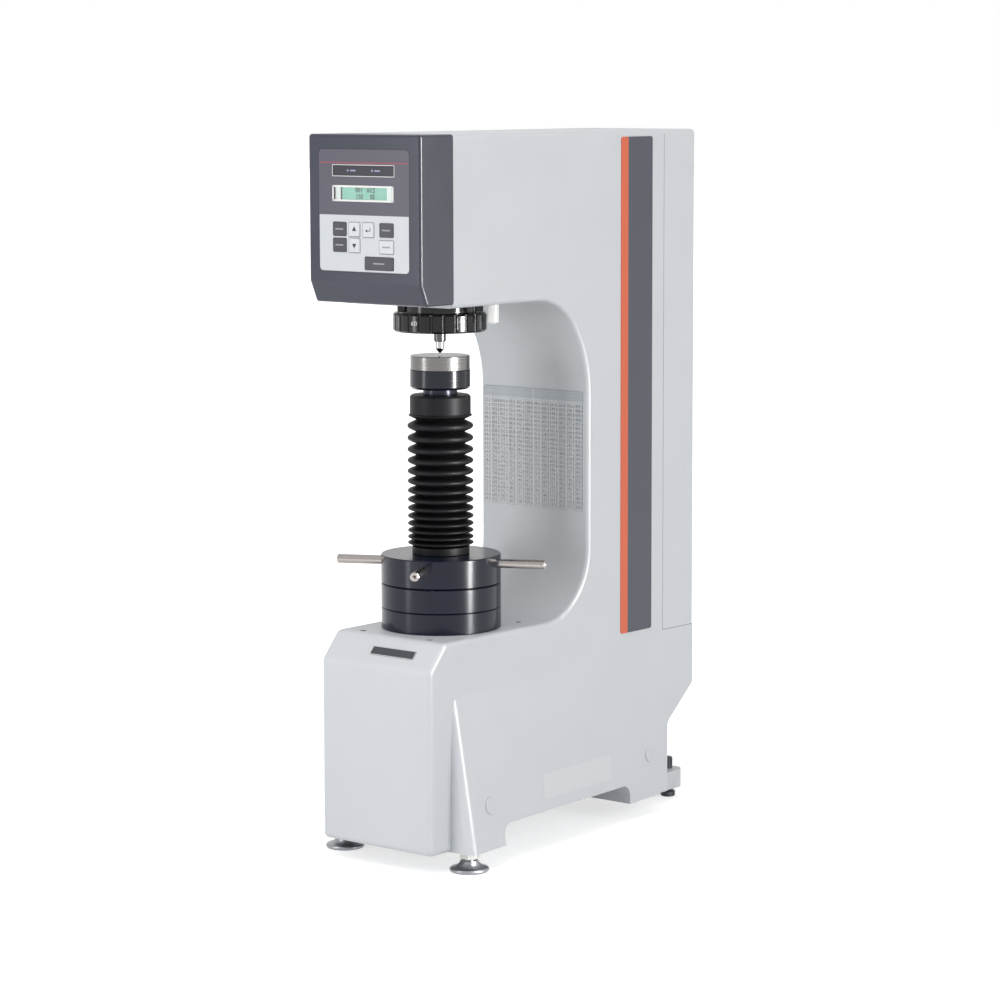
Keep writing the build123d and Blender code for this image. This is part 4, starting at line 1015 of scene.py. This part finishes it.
@dataclass
class PreloadSpring:
    """Coil spring above the spindle's collar."""

    part: Part
    coil: float = 12.0
    wire: float = 1.5
    turns: int = 5
    steps: int = 40
    low: float = 656.1
    high: float = 688.5
    seat: float = 690.0
    short_share: float = 0.985

    def build(self) -> None:
        """Sweep the wire round the spindle, close its ends and hang it on the frame in place of the CAD
        spring.
        """
        begin()
        bpy.ops.mesh.primitive_circle_add(vertices=12, radius=self.wire * MM, rotation=(math.pi / 2, 0, 0),
                                          location=(self.coil * MM, 0, self.low * MM))
        piece = in_hand("preload_coils")
        settle(piece)
        rise = (self.high - self.low) / self.turns * MM
        finish_with(piece, "SCREW", screw_offset=rise, iterations=self.turns, steps=self.steps,
                    render_steps=self.steps)
        with editing(piece):
            bpy.ops.mesh.fill_holes(sides=0)
            tidy_normals()
        place(piece, spot(0, 0, 0))
        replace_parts(self.part.hang(piece, "frame", "spring_steel", smooth=50), "preload_spring")
        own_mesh(piece)


class Tone(Enum):
    """How a key is printed."""

    DARK = "dark"
    LIGHT = "light"


@dataclass(frozen=True)
class Key:
    """One key of the panel: its node, its box and its print."""

    node: str
    left: float
    right: float
    low: float
    high: float
    tone: Tone

    @property
    def middle(self) -> tuple[float, float]:
        """Give the middle of the key in X and Z."""
        return (self.left + self.right) / 2, (self.low + self.high) / 2

    def around(self, margin: float) -> tuple[float, float, float, float]:
        """Give the key's box with a margin all round."""
        return self.left - margin, self.right + margin, self.low - margin, self.high + margin


KEYS = (
    Key("key_menu", -43.3, -24.3, 674.0, 688.5, Tone.DARK),
    Key("key_mode", -43.3, -24.3, 657.3, 671.8, Tone.DARK),
    Key("key_up", -20.5, -5.5, 674.0, 688.5, Tone.LIGHT),
    Key("key_down", -20.5, -5.5, 657.3, 671.8, Tone.LIGHT),
    Key("key_enter", -1.0, 14.0, 673.5, 688.5, Tone.LIGHT),
    Key("key_reset", 21.8, 41.2, 674.0, 688.5, Tone.DARK),
    Key("key_offset", 21.8, 41.2, 657.0, 670.5, Tone.LIGHT),
    Key("key_start", 1.0, 41.2, 639.5, 653.2, Tone.DARK),
)


@dataclass
class Keypad:
    """Print on the panel: key marks, outlines, the lamps' strip and the display's digits."""

    part: Part
    face: float = -121.0
    key_face: float = -121.8
    screen: float = -119.0
    ink: float = 0.08
    margin: float = 0.9
    key_line: tuple[float, float] = (1.6, 0.45)         # corner and width of the printed line
    strip_line: tuple[float, float] = (0.8, 0.6)
    display_line: tuple[float, float] = (0.6, 2.0)
    arrow: float = 3.4
    enter_arrow: float = 1.9
    enter_head: tuple[float, float] = (-2.2, -0.9)
    enter_stem: tuple[float, ...] = (-2.0, 3.2, -1.3, -0.5)
    enter_rise: tuple[float, ...] = (2.4, 3.2, -1.3, 2.6)
    bar_corner: float = 0.4
    bar: tuple[float, ...] = (-5.5, 5.5, -0.75, 0.75)
    wide_bar: tuple[float, ...] = (-8.0, 8.0, -0.75, 0.75)
    diodes: tuple[tuple[str, float], ...] = (("diode_left", -22.0), ("diode_right", 12.0))
    diode: tuple[float, ...] = (-1.2, 1.2, -1.2, 1.2)
    diode_bar: tuple[float, ...] = (3.4, 11.0, -0.9, 0.8)
    diode_height: float = 742.4
    diode_corner: float = 1.0
    diode_bar_corner: float = 0.3
    digit: float = 4.8
    stroke: float = 0.14
    digits_at: tuple[float, float] = (1.0, 0.05)        # their X, and how far in front of the screen
    strip_box: tuple[float, ...] = (-43.8, 42.8, 736.2, 748.5)
    display_box: tuple[float, ...] = (-43.9, 41.5, 710.1, 726.9)
    edge_box: tuple[float, ...] = (-33.4, -31.2, 711.6, 725.4)
    rows: tuple[tuple[str, float], ...] = (("001   60.5", 721.9), ("150     05", 715.2))

    def mark(self, name: str, box: Sequence[float], face: float, corner: float = 0.0,
             border: float = 0.0) -> Piece:
        """Print one rectangle.

        Args:
            name: Name of the piece.
            box: Left, right, low and high in millimetres.
            face: Y of the surface that it is printed on.
            corner: Radius of its corners.
            border: Width of its line, when only the line is wanted.

        Returns:
            The piece.
        """
        left, right, low, high = box
        piece = plate(name, right - left, high - low, self.ink, corner, border)
        return place(piece, spot((left + right) / 2, face, (low + high) / 2))

    @staticmethod
    def shifted(x: float, z: float, box: Sequence[float]) -> tuple[float, float, float, float]:
        """Move a box by X and Z."""
        left, right, low, high = box
        return x + left, x + right, z + low, z + high

    def triangle(self, name: str, x: float, z: float, size: float, turn: float) -> Piece:
        """Print an arrow head on a key.

        Args:
            name: Name of the piece.
            x: Its middle.
            z: Its middle.
            size: Radius in millimetres.
            turn: Degrees that it is turned from pointing up.

        Returns:
            The piece.
        """
        piece = flat_round(name, size, 3)
        with editing(piece, Pick.FACE):
            thicken(self.ink)
        return place(piece, spot(x, self.key_face, z), (0, turn, 0))

    def legends(self) -> None:
        """Print each key's own mark, which rides on its key."""
        for key in KEYS:
            x, z = key.middle
            name = key.node + "_mark"
            if key.node in ("key_up", "key_down"):
                piece = self.triangle(name, x, z, self.arrow, 180 if key.node == "key_down" else 0)
            elif key.node == "key_enter":
                stem, rise = (self.mark(name, self.shifted(x, z, box), self.key_face)
                              for box in (self.enter_stem, self.enter_rise))
                right, up = self.enter_head
                head = self.triangle(name, x + right, z + up, self.enter_arrow, -90)
                piece = together(name, (stem, rise, head))
            else:
                bar = self.wide_bar if key.node == "key_start" else self.bar
                piece = self.mark(name, self.shifted(x, z, bar), self.key_face, self.bar_corner)
            slot = "key_dark" if key.tone is Tone.DARK else "key_light"
            ink = "grey_ink" if key.tone is Tone.DARK or key.node == "key_offset" else "dark_ink"
            self.part.hang(piece, key.node, slot, ink)

    def outlines(self) -> None:
        """Print a thin line round each light key, and the frames of the strip and the display."""
        lines = [self.mark("line", key.around(self.margin), self.face, *self.key_line)
                 for key in KEYS if key.tone is Tone.LIGHT]
        self.part.hang(together("key_outlines", lines), "frame", "overlay_film", "grey_ink")
        frames = [self.mark("line", self.strip_box, self.face, *self.strip_line),
                  self.mark("line", self.display_box, self.face, *self.display_line)]
        self.part.hang(together("strip_frame", frames), "frame", "overlay_film", "light_ink")

    def lamps(self) -> None:
        """Set two small diodes into the strip."""
        for name, x in self.diodes:
            diode, bar = (
                self.mark(name, self.shifted(x, self.diode_height, box), self.face, corner)
                for box, corner in ((self.diode, self.diode_corner), (self.diode_bar, self.diode_bar_corner))
            )
            self.part.hang(together(name, (diode, bar)), "frame", "indicator_glass", "diode")

    def digits(self) -> None:
        """Print the display's digits, two rows of them, and its dark edge."""
        x, gap = self.digits_at
        rows = [place(numerals("row", text, self.digit, weight=self.stroke),
                      spot(x, self.screen - gap, height))
                for text, height in self.rows]
        rows.append(self.mark("edge", self.edge_box, self.screen))
        self.part.hang(together("display_digits", rows), "frame", "display_body", "dark_ink")

    def build(self) -> None:
        """Print the whole panel."""
        self.legends()
        self.outlines()
        self.lamps()
        self.digits()


@dataclass
class ConversionTable:
    """Plate with a table of plain numbers on the throat's wall."""

    part: Part
    area: TableArea = TableArea()
    wall: float = 161.0
    depth: float = 0.5
    corner: float = 3.0
    rim_inset: float = 0.6
    rim_width: float = 0.4
    digit: float = 2.4
    widened: float = 1.45
    first: int = 72
    factors: tuple[float, ...] = (1.0, 12.9, 11.7, 1.32, 6.3, 10.4)

    def column(self, index: int) -> str:
        """Give the numbers of one column, one to a line.

        Args:
            index: Which column, from the left.

        Returns:
            The lines.
        """
        half, place_in_half = divmod(index, self.area.columns // 2)
        first = self.first - half * self.area.rows
        factor = self.factors[place_in_half]
        return "\n".join(f"{(first - row) * factor:.1f}" for row in range(self.area.rows))

    def build(self) -> None:
        """Make the plate, its rim and its numbers."""
        area = self.area
        width, height = area.right - area.left, area.high - area.low
        centre = spot((area.left + area.right) / 2, self.wall, (area.low + area.high) / 2)
        sheet = plate("table_plate", width, height, self.depth, self.corner)
        self.part.hang(place(sheet, centre), "frame", "casting_paint", "table_film")
        rim = plate("table_rim", width - 2 * self.rim_inset, height - 2 * self.rim_inset, INK,
                    self.corner - self.rim_width, self.rim_width)
        place(rim, centre - Vector((0, self.depth * MM, 0)))
        self.part.hang(rim, "frame", "casting_paint", "grey_ink")
        columns = []
        for index in range(area.columns):
            piece = numerals("column", self.column(index), self.digit, 0.04)
            tall = piece.dimensions.z / MM
            focus(piece)
            piece.scale = (self.widened, 1, (area.row_pitch * (area.rows - 1) + self.digit) / tall)
            settle(piece)
            x = area.left + area.pitch * (index + 0.5)
            z = area.low + area.margin + area.row_pitch * area.rows / 2
            middle = sum((Vector(corner) for corner in piece.bound_box), Vector()) / 8
            at = spot(x, self.wall - self.depth, z) - Vector((middle.x, 0, middle.z))
            columns.append(place(piece, at))
        self.part.hang(together("table_numbers", columns), "frame", "casting_paint", "table_ink")


@dataclass
class DialMarks:
    """Plain numbers and thin white upright lines on the force dial's rim."""

    part: Part
    radius: float = 50.5
    middle: float = 579.2
    numbers: tuple[tuple[float, str], ...] = (
        (7.5, "60"), (127.5, "100"), (247.5, "150"),
    )
    lines: tuple[float, ...] = (62.6, 99.0, 182.6, 219.0, 302.6, 339.0)
    spacing: float = 3.9
    tight_spacing: float = 3.2
    digit: float = 5.0
    digit_depth: float = 0.24
    line: tuple[float, float, float] = (0.5, 13.0, INK)

    def on_rim(self, piece: Piece, angle: float) -> Piece:
        """Stand a flat mark on the rim.

        Args:
            piece: The mark, made at the origin.
            angle: Degrees from the front towards the viewer's right.

        Returns:
            The mark.
        """
        turn = math.radians(angle)
        x, y = self.radius * math.sin(turn), -self.radius * math.cos(turn)
        return place(piece, spot(x, y, self.middle), (0, 0, angle))

    def build(self) -> None:
        """Put all marks round the rim."""
        marks = []
        for angle, text in self.numbers:
            width = self.tight_spacing if len(text) > 2 else self.spacing
            for index, digit in enumerate(text):
                away = (index - (len(text) - 1) / 2) * width
                turn = angle + math.degrees(away / self.radius)
                marks.append(self.on_rim(numerals("digit", digit, self.digit, self.digit_depth), turn))
        for angle in self.lines:
            marks.append(self.on_rim(plate("line", *self.line), angle))
        self.part.hang(together("dial_marks", marks), "force_dial", "black_dial", "light_ink")


@dataclass
class Labels:
    """Bare badge, bare side label and the thin joints of the covers."""

    part: Part
    half_width: float = 77.0
    seam: float = 0.5
    cover_joint: float = 298.5
    cover_foot: float = 212.0
    cover_depth: float = 56.0
    end_gap: float = 5.0
    top: float = 780.0
    facet: float = 41.35
    badge_at: tuple[float, float, float] = (15.5, -96.8, 232.45)
    badge_size: tuple[float, float] = (61.0, 10.8)
    badge_depth: float = 0.5
    badge_corner: float = 1.2
    rim_inset: float = 0.2
    rim_corner: float = 1.1
    rim_width: float = 0.5
    label_at: tuple[float, float, float] = (112.0, 130.0, 70.0)
    label_size: tuple[float, float] = (0.130, 0.028)
    label_corner: float = 0.003
    label_lift: float = 0.00015
    label_depth: float = 0.00012
    seam_depth: float = 0.05

    def badge(self) -> None:
        """Fix the badge with its rim on the slanted facet of the base."""
        middle = spot(*self.badge_at)
        out = Vector((0, -0.751, 0.661))
        tilt = (-self.facet, 0, 0)
        width, height = self.badge_size
        sheet = place(plate("badge", width, height, self.badge_depth, self.badge_corner),
                      middle, tilt)
        self.part.hang(sheet, "frame", "casting_paint", "badge_film")
        rim = plate("badge_rim", width - 2 * self.rim_inset, height - 2 * self.rim_inset, INK,
                    self.rim_corner, self.rim_width)
        place(rim, middle + out * self.badge_depth * MM, tilt)
        self.part.hang(rim, "frame", "casting_paint", "light_ink")

    def side_label(self) -> None:
        """Lay the bare label on the flared side, following its surface."""
        width, height = self.label_size
        begin()
        bpy.ops.mesh.primitive_grid_add(x_subdivisions=24, y_subdivisions=8, size=1,
                                        rotation=(math.pi / 2, 0, 0))
        piece = in_hand("side_label")
        piece.scale = (width, height, 1)
        settle(piece)
        near = 0.0001
        with editing(piece, Pick.VERT,
                     lambda co: abs(co.x) > width / 2 - near and abs(co.z) > height / 2 - near):
            bpy.ops.mesh.bevel(offset=self.label_corner, segments=4, affect="VERTICES")
        place(piece, spot(*self.label_at), (0, 0, 90))
        finish_with(piece, "SHRINKWRAP", target=frame["nodes"]["frame_casting"], wrap_method="PROJECT",
                    use_project_x=True, use_negative_direction=True, use_positive_direction=False,
                    offset=self.label_lift)
        finish_with(piece, "SOLIDIFY", thickness=self.label_depth, offset=0.0)
        self.part.hang(piece, "frame", "casting_paint", "label_film", smooth=30)

    def seams(self) -> None:
        """Draw the thin shadow of the rear cover's joint."""
        tall = self.top - self.end_gap - self.cover_foot
        strips = []
        for side in (1, -1):
            turn = (0, 0, 90 * side)
            x = side * self.half_width
            strips.append(place(plate("seam", self.seam, tall, self.seam_depth),
                                spot(x, self.cover_joint, self.cover_foot + tall / 2), turn))
            strips.append(place(plate("seam", self.cover_depth, self.seam, self.seam_depth),
                                spot(x, self.cover_joint + self.cover_depth / 2, self.cover_foot), turn))
        across = 2 * (self.half_width - self.end_gap)
        strips.append(place(plate("seam", across, self.seam, self.seam_depth),
                            spot(0, self.cover_joint, self.top), (-90, 0, 0)))
        self.part.hang(together("cover_seams", strips), "frame", "cover_paint", "seam_shadow")

    def build(self) -> None:
        """Make the badge, the label and the seams."""
        self.badge()
        self.side_label()
        self.seams()


@dataclass
class SmallParts:
    """Thread on the rear studs, lens of the work lamp and marks of the rocker switch."""

    part: Part
    stud: tuple[float, float] = (31.0, 372.0)
    stud_radius: float = 5.0
    thread: tuple[float, float] = (36.6, 46.0)
    pitch: float = 1.25
    land: float = 0.1
    lamp: tuple[float, float, float] = (64.5, 12.0, 579.0)
    rocker: tuple[float, float, float] = (-6.0, 360.0, 262.0)
    bar: tuple[float, float] = (0.8, 4.2)
    mark_depth: float = 0.12
    mark_rise: float = 4.4
    ring: float = 1.9
    ring_width: float = 0.6
    on_face: tuple[float, float] = (1.69, 18.7)     # how far behind its half stands, and its tilt
    off_face: tuple[float, float] = (0.6, -5.5)

    def threads(self) -> None:
        """Cut the visible thread of both rear studs."""
        height, high = self.thread
        core, root, crest = (self.stud_radius + more for more in (-0.1, 0.05, 0.5))
        profile = [(core, height)]
        while height + self.pitch <= high:
            profile += [(root, height + self.land), (crest, height + self.pitch / 2),
                        (root, height + self.pitch - self.land)]
            height += self.pitch
        profile.append((core, height))
        for side, name in ((1, "right"), (-1, "left")):
            x, y = self.stud
            piece = turned(f"stud_thread_{name}", spot(side * x, y, 0), profile, SIDES)
            self.part.hang(piece, f"rear_foot_{name}", "stud_steel", smooth=40)

    def lens(self) -> None:
        """Set the lamp's lens into its lower end."""
        x, y, z = self.lamp
        profile = [(1.0, z - 1.3), (2.6, z - 1.0), (3.7, z - 0.4), (4.1, z + 0.2), (4.1, z + 0.8)]
        piece = turned("lamp_lens", spot(x, y, 0), profile, SIDES)
        self.part.hang(piece, "frame", "lamp_plastic", "lens", smooth=60)

    def rocker_marks(self) -> None:
        """Print the ON and OFF marks on the rocker."""
        x, y, z = self.rocker
        bar = plate("mark", *self.bar, self.mark_depth)
        behind, tilt = self.on_face
        on = place(bar, spot(x, y + behind, z + self.mark_rise), (tilt, 0, 180))
        off = flat_round("mark", self.ring, 32)
        with editing(off, Pick.FACE):
            thicken(self.mark_depth, self.ring_width)
        behind, tilt = self.off_face
        place(off, spot(x, y + behind, z - self.mark_rise), (tilt, 0, 180))
        self.part.hang(together("rocker_marks", (on, off)), "power_rocker", "rocker_plastic", "light_ink")

    def build(self) -> None:
        """Make all the small parts."""
        self.threads()
        self.lens()
        self.rocker_marks()


# ------------------------------------------------------------------ the studio
@dataclass
class Studio:
    """Pale floor, plain soft light and the camera."""

    level: float = 0.46
    floor_size: float = 40.0
    floor_tone: float = 0.80
    floor_lift: float = 0.58
    floor_reach: tuple[float, float] = (0.35, 1.0)
    camera_at: tuple[float, float, float] = (2.2992, -2.8190, 0.8373)
    azimuth: float = 39.52
    pitch: float = 7.29
    roll: float = -0.15
    lens: float = 118.66
    sensor: float = 36.0
    aim_height: float = 0.42

    def white_for_lens(self, steps: Steps) -> Socket:
        """Give 1 where the camera, a reflection or a window looks, and 0 for the light itself.

        Args:
            steps: The node tree.

        Returns:
            The output.
        """
        rays = steps.step("LightPath").outputs
        total = rays["Is Camera Ray"]
        for name in ("Is Glossy Ray", "Is Transmission Ray"):
            total = steps.math("MAXIMUM", total, rays[name])
        return total

    def sky(self) -> None:
        """Light everything evenly, before a white ground."""
        world = bpy.data.worlds.new("studio")
        bpy.context.scene.world = world
        world.use_nodes = True
        steps = Steps(world.node_tree)
        background = steps.tree.nodes["Background"]
        background.inputs["Color"].default_value = WHITE
        strength = steps.ramp(self.white_for_lens(steps), 0.0, 1.0, self.level, 1.0)
        steps.tree.links.new(strength, background.inputs["Strength"])

    def floor(self) -> None:
        """Lay the pale floor."""
        begin()
        bpy.ops.mesh.primitive_grid_add(x_subdivisions=2, y_subdivisions=2, size=self.floor_size)
        piece = in_hand("studio_floor")
        recipe = Recipe("studio_floor")
        recipe.set(Base_Color=(*(self.floor_tone,) * 3, 1.0), Roughness=1.0, Specular_IOR_Level=0.0,
                   Emission_Color=WHITE)
        away = recipe.step("VectorMath", {"operation": "LENGTH"}, i0=recipe.place()).outputs["Value"]
        rising = recipe.ramp(away, *self.floor_reach, self.floor_lift, 1.0)
        recipe.feed("Emission Strength", recipe.math("MULTIPLY", self.white_for_lens(recipe), rising))
        piece.data.materials.append(recipe.material)

    def panel(self, name: str, azimuth: float, distance: float, height: float, size: tuple[float, float],
              power: float, sheen_only: bool = False) -> None:
        """Stand a soft light round the machine, aimed at its middle.

        Args:
            name: Name of the light.
            azimuth: Degrees from the front towards the viewer's right.
            distance: Metres from the load axis.
            height: Height of its middle.
            size: Width and height in metres.
            power: Watts.
            sheen_only: Whether it shows in reflections only; any other light shows in none.
        """
        data = bpy.data.lights.new(name, "AREA")
        data.shape = "RECTANGLE"
        data.size, data.size_y = size
        data.energy = power
        light = bpy.data.objects.new(name, data)
        bpy.context.scene.collection.objects.link(light)
        turn = math.radians(azimuth)
        light.location = Vector((distance * math.sin(turn), AXIS_Y - distance * math.cos(turn), height))
        aim = Vector((0, AXIS_Y, self.aim_height)) - light.location
        light.rotation_euler = aim.to_track_quat("-Z", "Y").to_euler()
        light.visible_diffuse = not sheen_only
        light.visible_glossy = sheen_only

    def camera(self) -> None:
        """Set up the camera."""
        data = bpy.data.cameras.new("view")
        data.lens = self.lens
        data.sensor_width = self.sensor
        camera = bpy.data.objects.new("view", data)
        bpy.context.scene.collection.objects.link(camera)
        turn = (Matrix.Rotation(math.radians(self.azimuth), 4, "Z")
                @ Matrix.Rotation(math.radians(90 - self.pitch), 4, "X")
                @ Matrix.Rotation(math.radians(self.roll), 4, "Z"))
        camera.matrix_world = Matrix.Translation(self.camera_at) @ turn
        bpy.context.scene.camera = camera

    def build(self) -> None:
        """Set up floor, lights and camera."""
        bpy.context.scene.view_settings.view_transform = "Standard"
        self.sky()
        self.floor()
        self.panel("right_sheen", 97.0, 1.25, 0.78, (0.17, 1.5), 70.0, sheen_only=True)
        self.panel("left_sheen", -24.0, 1.25, 0.78, (0.15, 1.5), 6.0, sheen_only=True)
        self.panel("right_soft", 100.0, 2.6, 1.0, (1.2, 1.4), 23.0)
        self.panel("overhead", 20.0, 1.2, 2.6, (1.6, 1.6), 22.0)
        self.panel("front_soft", -12.0, 2.8, 0.55, (1.2, 1.0), 27.0)
        self.camera()
        LOG.info("studio ready")


def main() -> None:
    """Build the looks of the whole machine."""
    logging.basicConfig(level=logging.INFO, format="%(message)s")
    shelf = Shelf()
    part = Part(shelf)
    CadFinishes(shelf).build()
    for kind in (Bellows, PreloadSpring, Keypad, ConversionTable, DialMarks, Labels, SmallParts):
        kind(part).build()
        LOG.info("%s done", kind.__name__)
    Studio().build()


if __name__ == "__main__":
    main()
